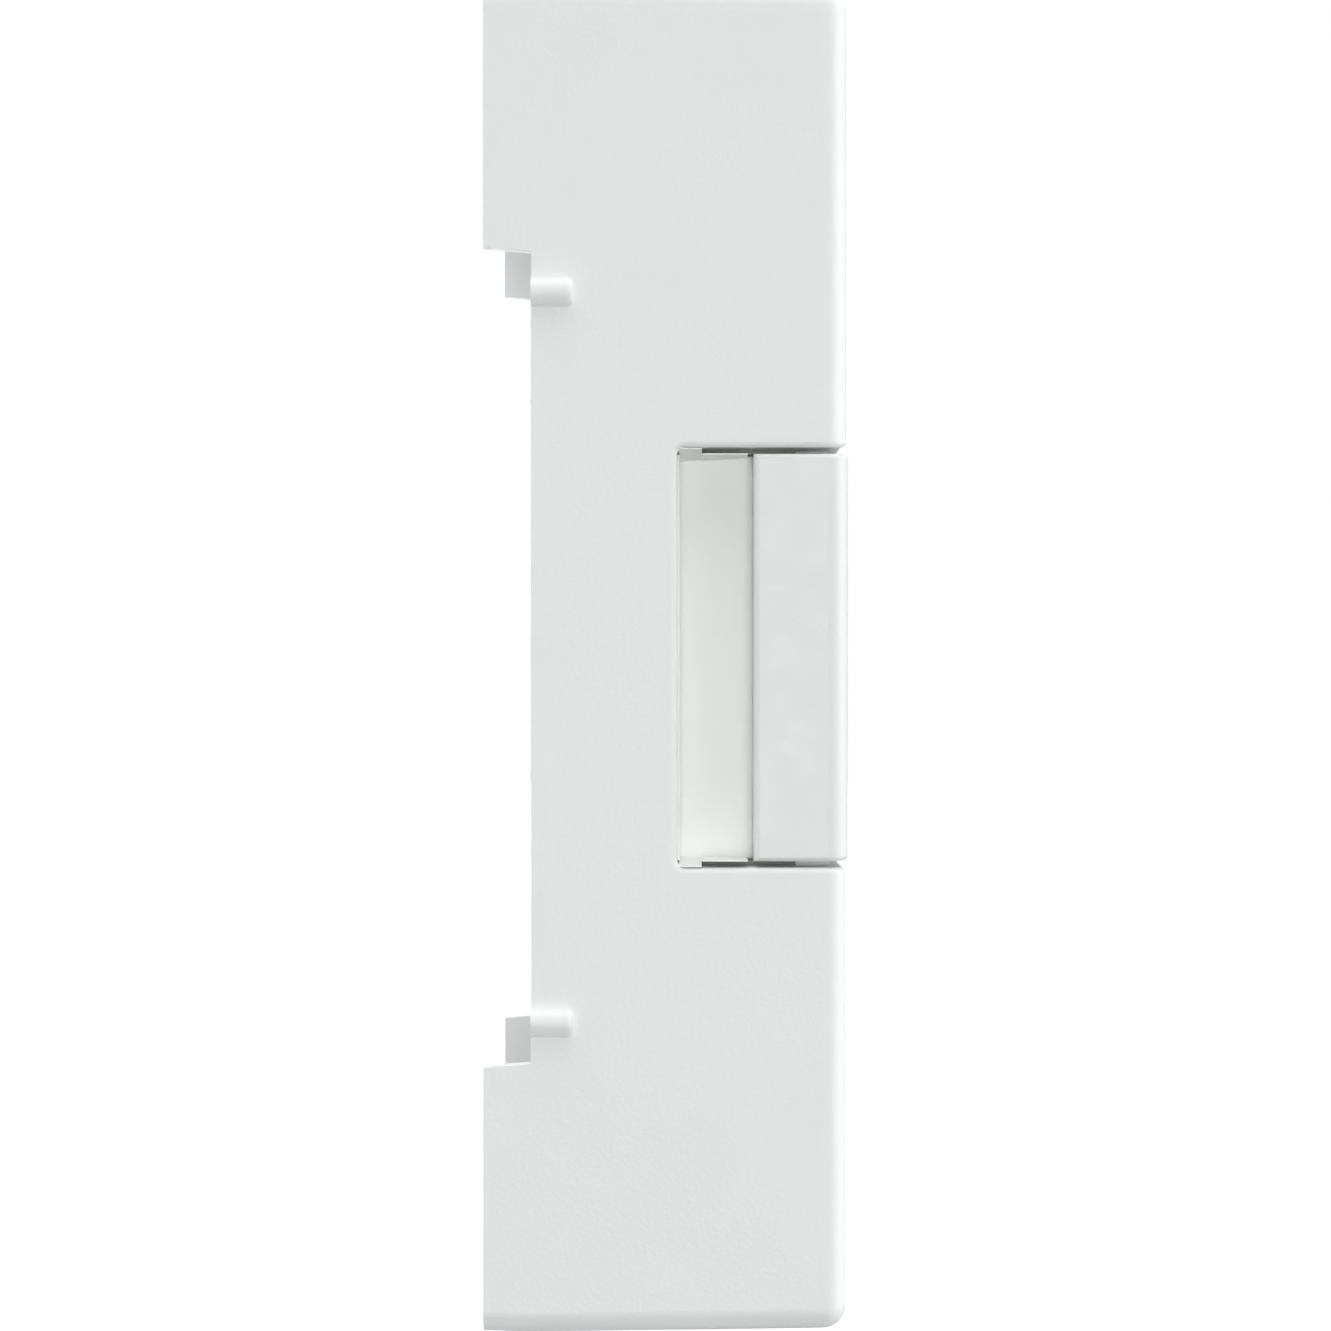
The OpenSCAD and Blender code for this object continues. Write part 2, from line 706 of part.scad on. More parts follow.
module pir_sensor() color([0.75, 0.75, 0.72]) {
    bar_y(4.1, -30.5, sensor_board_front_y - 0.4, 0, pir_z);
    bar_y(4.6, sensor_board_front_y - 0.4, sensor_board_front_y, 0, pir_z);
}

module sensor_board() color([0.1, 0.4, 0.25]) difference() {
    plate(30, 14, sensor_board_front_y, sensor_board_front_y + sensor_board_t, 3, pir_z, 1);
    for (sx = [-1, 1])
        bar_y(1, sensor_board_front_y - CUT, sensor_board_front_y + 2 * CUT, sx * sensor_post_x, pir_z);
}

module microphone() color([0.8, 0.75, 0.55])
    plate(3.4, 2.6, sensor_board_front_y - 1, sensor_board_front_y, mic_x, pir_z);

module microphone_boot() color([0.15, 0.15, 0.15])
    ring_y(2.4, 0.6, inner_front_y, sensor_board_front_y - 1, mic_x, pir_z);

// ---------------------------------------------------------------- speaker

module speaker() color([0.25, 0.25, 0.27]) {
    bar_y(speaker_r, speaker_front_y, speaker_front_y + 2.2, 0, speaker_z);
    bar_y(speaker_r - 3, speaker_front_y + 2.2, speaker_front_y + speaker_d, 0, speaker_z);
}

// acoustic mesh with its soft rim
module speaker_mesh() color([0.12, 0.12, 0.12]) {
    bar_y(mesh_r, inner_front_y, inner_front_y + mesh_t, 0, speaker_z);
    ring_y(mesh_r, mesh_r - rim_w, inner_front_y + mesh_t, speaker_front_y, 0, speaker_z);
}

// sound chamber: a box that is open to the front
module speaker_chamber() color([0.16, 0.16, 0.17]) difference() {
    plate(34, 24.6, inner_front_y, chamber_rear_y, 0, speaker_z, 2);
    plate(34 - 2 * chamber_wall, 24.6 - 2 * chamber_wall, inner_front_y - CUT, chamber_rear_y - chamber_wall,
        0, speaker_z, 1);
}

// ---------------------------------------------------------------- main board

module main_board() color([0.1, 0.4, 0.25]) difference() {
    plate(board_w, board_h, board_front_y, board_rear_y, 0, 0, 2);
    for (sx = [-1, 1], sz = [-1, 1])
        bar_y(1, board_front_y - CUT, board_rear_y + CUT, sx * board_screw_x, sz * board_screw_z);
}

// screws of the main board and of the sensor board
module board_screws() color("silver") {
    both_sides() both_ends() screw_y(board_screw_x, board_screw_z, board_rear_y, 6);
    both_sides() screw_y(sensor_post_x, pir_z, sensor_board_front_y + sensor_board_t, 4);
}

module soc_shield() color([0.78, 0.78, 0.76])
    plate(22, 20, board_rear_y, board_rear_y + 1.8, 0, 8, 1);

module thermal_pad() color([0.55, 0.6, 0.7])
    plate(18, 16, board_rear_y + 1.8, board_rear_y + 2.6, 0, 8);

module heat_spreader() color([0.8, 0.8, 0.82])
    plate(30, 60, board_rear_y + 2.6, board_rear_y + 3.6, 0, 12, 2);

module wifi_module() color([0.72, 0.72, 0.7])
    plate(12, 9, board_rear_y, board_rear_y + 2, -5, 51, 0.6);

module wifi_antenna() color([0.75, 0.5, 0.15])
    slab([-15, -17, in_h - 0.5], [15, -10, in_h - 0.2]);

// integrated circuits on both faces of the main board
module board_chips() color([0.1, 0.1, 0.11]) {
    for (z = [-9, 4])
        plate(9, 9, board_front_y - 1.2, board_front_y, -8, z);
    plate(6, 5, board_front_y - 1, board_front_y, 9, -6);
    plate(7, 5, board_rear_y, board_rear_y + 1.1, -9, -10);
    plate(5, 5, board_rear_y, board_rear_y + 1, 9, -12);
}

// round capacitors and square coils on the rear face
module board_capacitors() color([0.7, 0.7, 0.72]) {
    for (x = [-11, -4])
        bar_y(2.5, board_rear_y, board_rear_y + 4.4, x, -39.8);
    for (x = [4, 11])
        plate(5, 5, board_rear_y, board_rear_y + 2.8, x, -39.8, 0.8);
}

// ---------------------------------------------------------------- power

module battery_pack() color([0.2, 0.35, 0.6])
    plate(battery_w, battery_h, frame_plate_rear_y + foam_t, battery_rear_y, 0, 0, 1.5);

module battery_foam() color([0.25, 0.25, 0.25])
    plate(battery_w - 4, battery_h - 4, frame_plate_rear_y, frame_plate_rear_y + foam_t);

module battery_plug() color([0.95, 0.95, 0.9])
    plate(6, 4, board_front_y - 4, board_front_y, 9, -26, 0);

module terminal_block() color([0.1, 0.1, 0.1]) difference() {
    plate(terminal_w, terminal_h, board_rear_y, terminal_rear_y, 0, terminal_z, 0.8);
    both_sides() bar_y(terminal_screw_r + 0.05, board_rear_y + 1, CUT, terminal_x, terminal_z);
}

module terminal_screws() color([0.85, 0.75, 0.4])
    both_sides() screw_y(terminal_x, terminal_z, terminal_rear_y, 4.6, terminal_screw_r, 2.9, 1.1);

module usb_connector() color([0.75, 0.76, 0.78]) {
    difference() {
        plate(usb_w, usb_h, board_rear_y, cover_rear_y - 0.1, 0, service_z, usb_corner_r);
        plate(usb_w - 0.6, usb_h - 0.6, board_rear_y + 1, CUT, 0, service_z, usb_corner_r - 0.3);
    }
    plate(usb_w - 2.2, 0.7, board_rear_y + 0.5, cover_rear_y - 1.2, 0, service_z);
}

// rubber flap that hangs over the charging socket, with its hinge barrel at the upper edge
module usb_flap() color([0.85, 0.86, 0.86]) {
    inner = flap_w / 2 - hinge_ear_t - 0.1;
    low_y = cover_rear_y + 0.15;
    high_y = low_y + flap_t;
    neck_z = hinge_z - hinge_r - 0.3;
    slab([-flap_w / 2, low_y, flap_low_z], [flap_w / 2, high_y, neck_z]);
    slab([-inner, low_y, neck_z], [inner, high_y, hinge_z]);
    translate([-inner, hinge_y, hinge_z]) rotate([0, 90, 0]) cylinder(r = hinge_r - 0.4, h = 2 * inner);
    translate([-flap_w / 2 + 0.1, hinge_y, hinge_z]) rotate([0, 90, 0])
        cylinder(r = hinge_pin_r, h = flap_w - 0.2);
}

// ---------------------------------------------------------------- rear side controls

module reset_switch() color([0.15, 0.15, 0.15]) {
    plate(6, 6, board_rear_y, board_rear_y + 2.6, reset_x, reset_z);
    bar_y(1.4, board_rear_y + 2.6, flange_y + 0.1 - reset_travel - 0.05, reset_x, reset_z);
}

module reset_button() color([0.9, 0.5, 0.15]) {
    bar_y(reset_r, flange_y + 0.1, cover_rear_y - 0.15, reset_x, reset_z);
    bar_y(reset_r + 0.8, flange_y + 0.1, cover_front_y - 0.05, reset_x, reset_z);
}

module tamper_switch() color([0.15, 0.15, 0.15])
    plate(6, 6, board_rear_y, tamper_switch_y, tamper_x, tamper_z);

module tamper_plunger() color([0.85, 0.86, 0.86]) {
    bar_y(tamper_r, flange_y, -0.6, tamper_x, tamper_z);
    bar_y(tamper_r + 0.9, flange_y, cover_front_y - 0.05, tamper_x, tamper_z);
}

module tamper_spring() color("silver")
    coil_y(2, 0.2, 3, tamper_switch_y + 0.25, flange_y - tamper_switch_y - 0.5, tamper_x, tamper_z);

// membrane disc that lets air through the rear cover and keeps water out
module breather_vent() color([0.25, 0.26, 0.27])
    bar_y(vent_r - run_fit, cover_rear_y - vent_depth, cover_rear_y - vent_depth + vent_t, vent_x, service_z);

// ---------------------------------------------------------------- nodes

front_housing();
rear_cover();
cover_seal();
cover_screws();
button_frame();
frame_screws();
call_button();
button_light_ring();
button_cap();
button_springs();
button_board();
button_leds();
switch_body();
switch_plunger();
button_flex();
camera_window();
window_seal();
lens_shroud();
lens_barrel();
lens_front();
lens_rear();
lens_holder();
image_sensor();
camera_board();
camera_screws();
camera_flex();
ir_board();
ir_leds();
light_sensor();
pir_lens();
pir_shroud();
pir_sensor();
sensor_board();
speaker();
speaker_chamber();
speaker_mesh();
microphone();
microphone_boot();
main_board();
board_screws();
soc_shield();
thermal_pad();
heat_spreader();
wifi_module();
wifi_antenna();
board_chips();
board_capacitors();
battery_pack();
battery_foam();
battery_plug();
terminal_block();
terminal_screws();
usb_connector();
usb_flap();
reset_switch();
reset_button();
tamper_switch();
tamper_plunger();
tamper_spring();
breather_vent();
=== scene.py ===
import json
import math

import bpy
import numpy as np
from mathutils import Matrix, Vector


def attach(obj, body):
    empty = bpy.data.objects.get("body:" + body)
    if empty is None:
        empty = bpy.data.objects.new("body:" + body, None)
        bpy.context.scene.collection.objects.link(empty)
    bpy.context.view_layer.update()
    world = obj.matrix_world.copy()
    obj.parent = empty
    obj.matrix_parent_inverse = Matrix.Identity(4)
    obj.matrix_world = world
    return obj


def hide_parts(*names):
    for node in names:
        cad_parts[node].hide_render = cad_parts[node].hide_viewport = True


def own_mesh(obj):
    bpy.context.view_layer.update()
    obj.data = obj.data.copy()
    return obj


# Video doorbell. Shapes are worked out in millimetres in the frame of the part: the wall plane is
# y = 0, the front faces -Y and +Z is up. MM turns them into metres.
MM = 0.001
TAU = 2 * math.pi

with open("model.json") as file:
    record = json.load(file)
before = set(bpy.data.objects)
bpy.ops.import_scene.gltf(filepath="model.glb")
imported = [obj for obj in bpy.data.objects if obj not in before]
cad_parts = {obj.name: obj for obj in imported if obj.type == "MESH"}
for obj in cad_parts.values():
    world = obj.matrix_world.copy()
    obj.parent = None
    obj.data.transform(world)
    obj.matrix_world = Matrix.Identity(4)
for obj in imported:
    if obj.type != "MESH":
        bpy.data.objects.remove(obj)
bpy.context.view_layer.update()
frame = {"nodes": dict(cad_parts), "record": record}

# driving sizes, as in the part's source: outer box, wall, wall plate's notch, front opening
HALF_W, HALF_H, FRONT = 25.0, 67.75, -36.4
WALL, EDGE_R, NOTCH_D = 2.0, 2.3, 4.8
CUT_HALF, CUT_REAR, CUT_R = 21.0, -19.4, 0.8
FLOOR_X, FRAME_HALF = 19.4, 20.4
BUTTON_FRONT, BUTTON_REAR = -36.6, -27.1
CAMERA_Z, PIR_Z, SPEAKER_Z, SERVICE_Z, TERMINAL_Z = 43.5, -31.5, -52.0, -52.0, -29.0
COVER_REAR, COVER_FRONT = -4.8, -6.8
COVER_SCREWS = [(sx * 19.2, z) for sx in (-1, 1) for z in (-62.0, 0, 62.0)]
CORNERS = [(sx, sz) for sx in (-1, 1) for sz in (-1, 1)]
BOSS_Z, BOSS_R = 36.5, 1.45             # peg bosses at the notch
PIN_X, PIN_Z = 15.5, 14.5               # the button's guide pins, with a spring round each
HOOK_X = 8.0                            # the button's snap hooks
SPRING_FRONT, SPRING_FOOT = -34.3, -30.5
GAP_FOOT = 20.46                        # height at which the lips and strips beside the button begin
RESET_X, RESET_Z = 11, -46.5
TAMPER_X, TAMPER_Z, TAMPER_FOOT = 8, 49.5, -10.9
PIVOT_Y, PIVOT_Z = -4.0, -47.4          # the flap's hinge line
COVER_RIBS = (34.0, 26.0, -12.0, -19.5)
WIRE_SCREW_X = 5.4


# ------------------------------------------------------------------ surfaces

def outline(w, h, r, y, x=0.0, z=0.0, n=8):
    """Rounded rectangle across the Y axis: each corner is a quarter circle of radius r about a centre
    r inside the corner, n steps to a quarter. Returns rows of x, y, z."""
    r = max(r, 0.02)
    quarter = np.linspace(0, math.pi / 2, n + 1)
    turn = np.concatenate([quarter + k * math.pi / 2 for k in range(4)])
    side_x = np.repeat([1, -1, -1, 1], n + 1)
    side_z = np.repeat([1, 1, -1, -1], n + 1)
    return np.stack([x + side_x * (w / 2 - r) + r * np.cos(turn), np.full(turn.size, float(y)),
                     z + side_z * (h / 2 - r) + r * np.sin(turn)], 1)


def circle(r, y, x=0.0, z=0.0, n=64):
    """Circle of radius r across the Y axis. y may be one value or one for each of its n points."""
    turn = np.arange(n) * TAU / n
    return np.stack([x + r * np.cos(turn), np.zeros(n) + y, z + r * np.sin(turn)], 1)


def loft(loops, closed=False):
    """Skin over a stack of outlines with equal point counts: point j of outline i joins point j + 1
    and the same two points of outline i + 1. The stack is capped flat, or closed into a ring.
    Faces are turned outwards by the sign of the enclosed volume."""
    loops = np.asarray(loops, float)
    m, n = loops.shape[:2]
    rows = m if closed else m - 1
    i, j = np.arange(rows)[:, None], np.arange(n)[None, :]
    here, there = i * n, ((i + 1) % m) * n
    quads = np.stack([here + j, here + (j + 1) % n, there + (j + 1) % n, there + j], -1).reshape(-1, 4)
    points = loops.reshape(-1, 3)
    p = points[quads]
    volume = (np.einsum("ij,ij->i", p[:, 0], np.cross(p[:, 1], p[:, 2])).sum()
              + np.einsum("ij,ij->i", p[:, 0], np.cross(p[:, 2], p[:, 3])).sum())
    faces = quads.tolist()
    if not closed:
        first, last = np.arange(n)[::-1], np.arange(n) + (m - 1) * n
        for cap in (first, last):
            q = points[cap]
            volume += np.einsum("ij,ij->i", np.repeat(q[:1], n - 2, 0), np.cross(q[1:-1], q[2:])).sum()
            faces.append(cap.tolist())
    if volume < 0:
        faces = [f[::-1] for f in faces]
    return points, faces


def block(x0, x1, y0, y1, z0, z1):
    """Box between two corners, as a stack of two rectangles along Z."""
    square = np.array([[x0, y0], [x1, y0], [x1, y1], [x0, y1]], float)
    return loft([np.column_stack([square, np.full(4, z)]) for z in (z0, z1)])


def soft_plate(w, h, r, front, rear, x=0.0, z=0.0, front_r=0.3, rear_r=0.1, n=8, steps=4):
    """Plate across the Y axis with rounded rims: near each face the outline is drawn in by
    e (1 - sin t) at depth e (1 - cos t), t from 0 to a right angle."""
    t = np.linspace(0, math.pi / 2, steps + 1)
    rows = [(front_r * (1 - math.sin(a)), front + front_r * (1 - math.cos(a))) for a in t]
    rows += [(rear_r * (1 - math.sin(a)), rear - rear_r * (1 - math.cos(a))) for a in t[::-1]]
    return loft([outline(w - 2 * e, h - 2 * e, r - e, y, x, z, n) for e, y in rows])


def turned(profile, x=0.0, z=0.0, n=64, closed=False):
    """Solid of revolution about a line along Y: each pair of the profile is a radius and a depth."""
    return loft([circle(r, y, x, z, n) for r, y in profile], closed)


def bar_x(x0, x1, y, z, r, n=32, end_r=0.15):
    """Round bar along X with rounded ends."""
    turn = np.arange(n) * TAU / n
    rows = [(x0, r - end_r), (x0 + 0.3 * end_r, r - 0.3 * end_r), (x0 + end_r, r),
            (x1 - end_r, r), (x1 - 0.3 * end_r, r - 0.3 * end_r), (x1, r - end_r)]
    return loft([np.column_stack([np.full(n, a), y + b * np.cos(turn), z + b * np.sin(turn)])
                 for a, b in rows])


def prism_x(shape, x0, x1):
    """Flat outline in Y and Z carried along X."""
    shape = np.asarray(shape, float)
    return loft([np.column_stack([np.full(len(shape), x), shape]) for x in (x0, x1)])


def together(parts):
    """Several skins as one."""
    points, faces, start = [], [], 0
    for p, f in parts:
        points.append(p)
        faces += [[i + start for i in face] for face in f]
        start += len(p)
    return np.concatenate(points), faces


# ------------------------------------------------------------------ objects

def new_mesh(name, skin):
    """Mesh datablock in metres from a skin in millimetres."""
    points, faces = skin
    mesh = bpy.data.meshes.new(name)
    mesh.from_pydata((points * MM).tolist(), [], faces)
    mesh.validate()
    return mesh


def new_object(name, skin):
    """Object at the origin that holds the skin."""
    ob = bpy.data.objects.new(name, new_mesh(name, skin))
    bpy.context.scene.collection.objects.link(ob)
    return ob


def settle(ob):
    """Takes the modifiers' result as the object's own mesh."""
    graph = bpy.context.evaluated_depsgraph_get()
    graph.update()
    mesh = bpy.data.meshes.new_from_object(ob.evaluated_get(graph))
    old = ob.data
    ob.modifiers.clear()
    ob.data = mesh
    mesh.name = ob.name
    bpy.data.meshes.remove(old)


def carve(ob, *steps):
    """Adds or takes away skins. Each step is the operation and a skin."""
    for operation, skin in steps:
        tool = new_object("tool", skin)
        mod = ob.modifiers.new("carve", "BOOLEAN")
        mod.operation, mod.solver, mod.object = operation, "EXACT", tool
        settle(ob)
        mesh = tool.data
        bpy.data.objects.remove(tool)
        bpy.data.meshes.remove(mesh)


def edge_facts(mesh):
    """Middles of the edges in millimetres, and the angle between each edge's two faces in degrees (0
    where it hasn't two), both as arrays."""
    co = np.zeros(len(mesh.vertices) * 3)
    mesh.vertices.foreach_get("co", co)
    co = co.reshape(-1, 3) / MM
    ends = np.zeros(len(mesh.edges) * 2, int)
    mesh.edges.foreach_get("vertices", ends)
    middle = co[ends.reshape(-1, 2)].mean(1)
    loop_edge = np.zeros(len(mesh.loops), int)
    mesh.loops.foreach_get("edge_index", loop_edge)
    total = np.zeros(len(mesh.polygons), int)
    mesh.polygons.foreach_get("loop_total", total)
    normal = np.zeros(len(mesh.polygons) * 3)
    mesh.polygons.foreach_get("normal", normal)
    owner = np.repeat(np.arange(len(total)), total)
    order = np.argsort(loop_edge, kind="stable")
    sorted_edge, sorted_owner = loop_edge[order], owner[order]
    first = np.searchsorted(sorted_edge, np.arange(len(mesh.edges)))
    count = np.bincount(loop_edge, minlength=len(mesh.edges))
    two = count == 2
    normal = normal.reshape(-1, 3)
    angle = np.zeros(len(mesh.edges))
    a = normal[sorted_owner[first[two]]]
    b = normal[sorted_owner[first[two] + 1]]
    angle[two] = np.degrees(np.arccos(np.clip((a * b).sum(1), -1, 1)))
    return middle, angle


def soften(ob, width_at, steps=4, sharp=38.0):
    """Rounds edges: width_at gives each sharp edge's rounding in millimetres from its middle, and the
    Bevel modifier turns that share of the widest into a fillet of the given steps."""
    middle, angle = edge_facts(ob.data)
    width = np.where(angle > sharp, width_at(middle), 0.0)
    widest = float(width.max())
    if widest > 0:
        layer = ob.data.attributes.new("bevel_weight_edge", "FLOAT", "EDGE")
        layer.data.foreach_set("value", (width / widest).astype(np.float32))
        mod = ob.modifiers.new("fillet", "BEVEL")
        mod.limit_method, mod.width, mod.segments = "WEIGHT", widest * MM, steps
        mod.use_clamp_overlap, mod.miter_outer = False, "MITER_SHARP"
        settle(ob)


def present(ob, body, material, nodes=(), angle=35.0):
    """Last step of every new piece: smooth shading with sharp edges kept, its finish, the body it rides
    on and the CAD nodes it stands for."""
    mesh = ob.data
    mesh.polygons.foreach_set("use_smooth", np.ones(len(mesh.polygons), bool))
    mesh.set_sharp_from_angle(angle=math.radians(angle))
    mesh.materials.clear()
    mesh.materials.append(material)
    mod = ob.modifiers.new("even normals", "WEIGHTED_NORMAL")
    mod.keep_sharp = True
    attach(ob, body)
    if nodes:
        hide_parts(*nodes)
    return ob


# ------------------------------------------------------------------ finishes

class Finish:
    """A material in the making: a Principled shader, Object coordinates, and short ways to add nodes."""

    def __init__(self, name, **sockets):
        self.material = bpy.data.materials.new(name)
        self.material.use_nodes = True
        self.tree = self.material.node_tree
        self.shader = self.tree.nodes["Principled BSDF"]
        self.place = self.tree.nodes.new("ShaderNodeTexCoord").outputs["Object"]
        for key, value in sockets.items():
            self.shader.inputs[key.replace("_", " ")].default_value = value

    def node(self, kind, values=None, **settings):
        made = self.tree.nodes.new("ShaderNode" + kind)
        for key, value in settings.items():
            setattr(made, key, value)
        for key, value in (values or {}).items():
            if isinstance(value, bpy.types.NodeSocket):
                self.tree.links.new(value, made.inputs[key])
            else:
                made.inputs[key].default_value = value
        return made

    def stretched(self, scale, shift=(0, 0, 0)):
        return self.node("Mapping", {"Vector": self.place, "Scale": scale, "Location": shift}).outputs[0]

    def noise(self, scale, detail=2.0, vector=None):
        return self.node("TexNoise", {"Vector": vector or self.place, "Scale": scale,
                                      "Detail": detail}).outputs[0]

    def cells(self, scale, vector=None, feature="F1"):
        made = self.node("TexVoronoi", {"Vector": vector or self.place, "Scale": scale}, feature=feature)
        return made.outputs["Distance"]

    def span(self, value, low, high, at=(0.0, 1.0)):
        return self.node("MapRange", {0: value, 1: at[0], 2: at[1], 3: low, 4: high}).outputs[0]

    def math(self, operation, a, b=0.0):
        return self.node("Math", {0: a, 1: b}, operation=operation).outputs[0]

    def blend(self, share, first, second):
        made = self.node("Mix", {"Factor": share}, data_type="RGBA")
        for key, value in ((6, first), (7, second)):
            if isinstance(value, bpy.types.NodeSocket):
                self.tree.links.new(value, made.inputs[key])
            else:
                made.inputs[key].default_value = (*value[:3], 1.0)
        return made.outputs[2]

    def set(self, key, value):
        self.tree.links.new(value, self.shader.inputs[key])

    def relief(self, *layers):
        """Bump layers one over another: each is a height, its depth in metres and its strength."""
        normal = None
        for height, depth, strength in layers:
            values = {"Height": height, "Distance": depth, "Strength": strength}
            if normal is not None:
                values["Normal"] = normal
            normal = self.node("Bump", values).outputs[0]
        self.set("Normal", normal)


def shade(colour, factor):
    """Colour times a factor, never over 1."""
    return tuple(min(1.0, c * factor) for c in colour)


def moulded(name, colour, rough=0.42, grain=0.35, depth=0.00003, cell=2600.0, vary=0.035, subsurface=0.0,
            specular=0.5):
    """Moulded plastic: a spark-eroded grain from small cells and fine noise, faint cloudy changes of
    colour from the flow of the melt, and roughness that changes a little from place to place."""
    f = Finish(name, Specular_IOR_Level=specular)
    cloud = f.noise(38.0, 3.0)
    fine = f.noise(900.0, 3.0)
    pits = f.cells(cell)
    tone = f.blend(f.span(cloud, 0, 1, (0.35, 0.65)), shade(colour, 1 - vary), colour)
    tone = f.blend(f.span(pits, 0.0, 0.35, (0.0, 0.5)), shade(colour, 1 - vary * 0.7), tone)
    f.set("Base Color", tone)
    f.set("Roughness", f.span(fine, rough - 0.06, rough + 0.08, (0.3, 0.7)))
    f.relief((pits, depth, grain), (fine, depth, grain * 0.7))
    if subsurface:
        f.shader.inputs["Subsurface Weight"].default_value = subsurface
        f.shader.inputs["Subsurface Radius"].default_value = (1.0, 0.95, 0.9)
        f.shader.inputs["Subsurface Scale"].default_value = 0.0006
    return f.material


def rubber(name, colour, rough=0.62):
    """Soft rubber: dull, with a fine dusty mottling and a very low grain."""
    f = Finish(name, Specular_IOR_Level=0.35)
    dust = f.noise(320.0, 4.0)
    f.set("Base Color", f.blend(f.span(dust, 0, 1, (0.3, 0.7)), shade(colour, 0.95), shade(colour, 1.03)))
    f.set("Roughness", f.span(dust, rough - 0.08, rough + 0.12, (0.3, 0.7)))
    f.relief((f.noise(4200.0, 2.0), 0.00002, 0.35))
    return f.material


def metal(name, colour, rough=0.28, along=(1, 1, 1), scratch=0.25):
    """Metal: fine marks drawn out along one direction, with roughness that follows them."""
    f = Finish(name, Metallic=1.0)
    marks = f.noise(1600.0, 4.0, f.stretched(along))
    haze = f.noise(120.0, 2.0)
    f.set("Base Color", f.blend(f.span(haze, 0, 1, (0.3, 0.7)), shade(colour, 0.88), colour))
    f.set("Roughness", f.math("ADD", f.span(marks, rough - 0.08, rough + 0.12, (0.3, 0.7)),
                              f.span(haze, -0.03, 0.05)))
    f.relief((marks, 0.00001, scratch))
    return f.material


def circuit(name, colour, light):
    """Circuit board: solder mask over copper, with straight tracks as slightly lighter, raised lines and
    small round pads."""
    f = Finish(name, Specular_IOR_Level=0.55)
    across = f.stretched((1, 0, 1))
    tracks = f.node("TexWave", {"Vector": across, "Scale": 150.0, "Distortion": 1.2, "Detail": 1.0,
                                "Detail Scale": 0.6}, wave_profile="SIN").outputs["Color"]
    raised = f.span(tracks, 0, 1, (0.55, 0.68))
    pads = f.span(f.cells(330.0, across), 1, 0, (0.12, 0.2))
    tone = f.blend(raised, colour, light)
    f.set("Base Color", f.blend(pads, tone, (0.62, 0.55, 0.36)))
    f.set("Roughness", f.span(f.noise(500.0), 0.24, 0.42, (0.3, 0.7)))
    f.relief((f.math("MAXIMUM", raised, pads), 0.00004, 0.5))
    return f.material


def film(name, colour, rough=0.3):
    """Flexible amber film with copper lanes that show through it."""
    f = Finish(name, Specular_IOR_Level=0.6)
    lanes = f.node("TexWave", {"Vector": f.stretched((1, 0.1, 0.1)), "Scale": 260.0}).outputs["Color"]
    f.set("Base Color", f.blend(f.span(lanes, 0, 1, (0.4, 0.6)), colour, shade(colour, 0.62)))
    f.set("Roughness", f.span(f.noise(600.0), rough - 0.06, rough + 0.08, (0.3, 0.7)))
    f.relief((lanes, 0.00003, 0.3))
    return f.material


def woven(name, colour, pitch=5200.0):
    """Fine woven mesh: two sets of waves at right angles, raised where a wire passes over. The raised
    crossings carry a painted highlight and the low places between the wires carry painted shade.
    """
    f = Finish(name, Specular_IOR_Level=0.3)
    ways = [f.node("TexWave", {"Vector": f.place, "Scale": pitch / TAU},
                   bands_direction=d).outputs["Color"] for d in ("X", "Z")]
    weave = f.math("MAXIMUM", ways[0], ways[1])
    # painted highlight on the raised crossings, painted shade in the low places between the wires
    f.set("Base Color", f.blend(weave, shade(colour, 0.35), shade(colour, 1.5)))
    f.set("Roughness", f.span(weave, 0.8, 0.5))
    f.relief((weave, 0.00006, 0.8))
    return f.material


def clear_resin(name, colour, rough, transmission, milk=0.0):
    """Cast or moulded clear part: light passes in part, with faint streaks and tiny bubbles."""
    f = Finish(name, Transmission_Weight=transmission, IOR=1.49)
    haze = f.noise(90.0, 2.0)
    specks = f.span(f.cells(700.0), 1, 0, (0.03, 0.07))
    f.set("Base Color", f.blend(f.math("MULTIPLY", specks, 0.25), f.blend(
        f.span(haze, 0, 1, (0.3, 0.7)), shade(colour, 0.94), colour), (1, 1, 1)))
    f.set("Roughness", f.span(haze, rough, rough + 0.06, (0.3, 0.7)))
    if milk:
        f.shader.inputs["Subsurface Weight"].default_value = milk
        f.shader.inputs["Subsurface Scale"].default_value = 0.001
    return f.material


def window_finish():
    """Front glass: black print, left clear in a disc over the lens. The distance from the lens's axis
    decides between the two."""
    f = Finish("window_glass", IOR=1.36, Specular_IOR_Level=0.5)
    part = f.node("SeparateXYZ", {0: f.stretched((1, 1, 1), (0, 0, -CAMERA_Z * MM))}).outputs
    away = f.math("SQRT", f.math("ADD", f.math("MULTIPLY", part[0], part[0]),
                                 f.math("MULTIPLY", part[2], part[2])))
    clear = f.span(away, 1.0, 0.0, (0.0069, 0.0071))
    smudge = f.noise(60.0, 3.0)
    f.set("Base Color", f.blend(clear, (0.012, 0.012, 0.014), (0.02, 0.021, 0.026)))
    f.set("Alpha", f.span(clear, 1.0, 0.12))
    f.set("Roughness", f.math("MULTIPLY", f.span(smudge, 0.0, 0.04, (0.45, 0.8)), f.span(clear, 1.0, 0.0)))
    return f.material


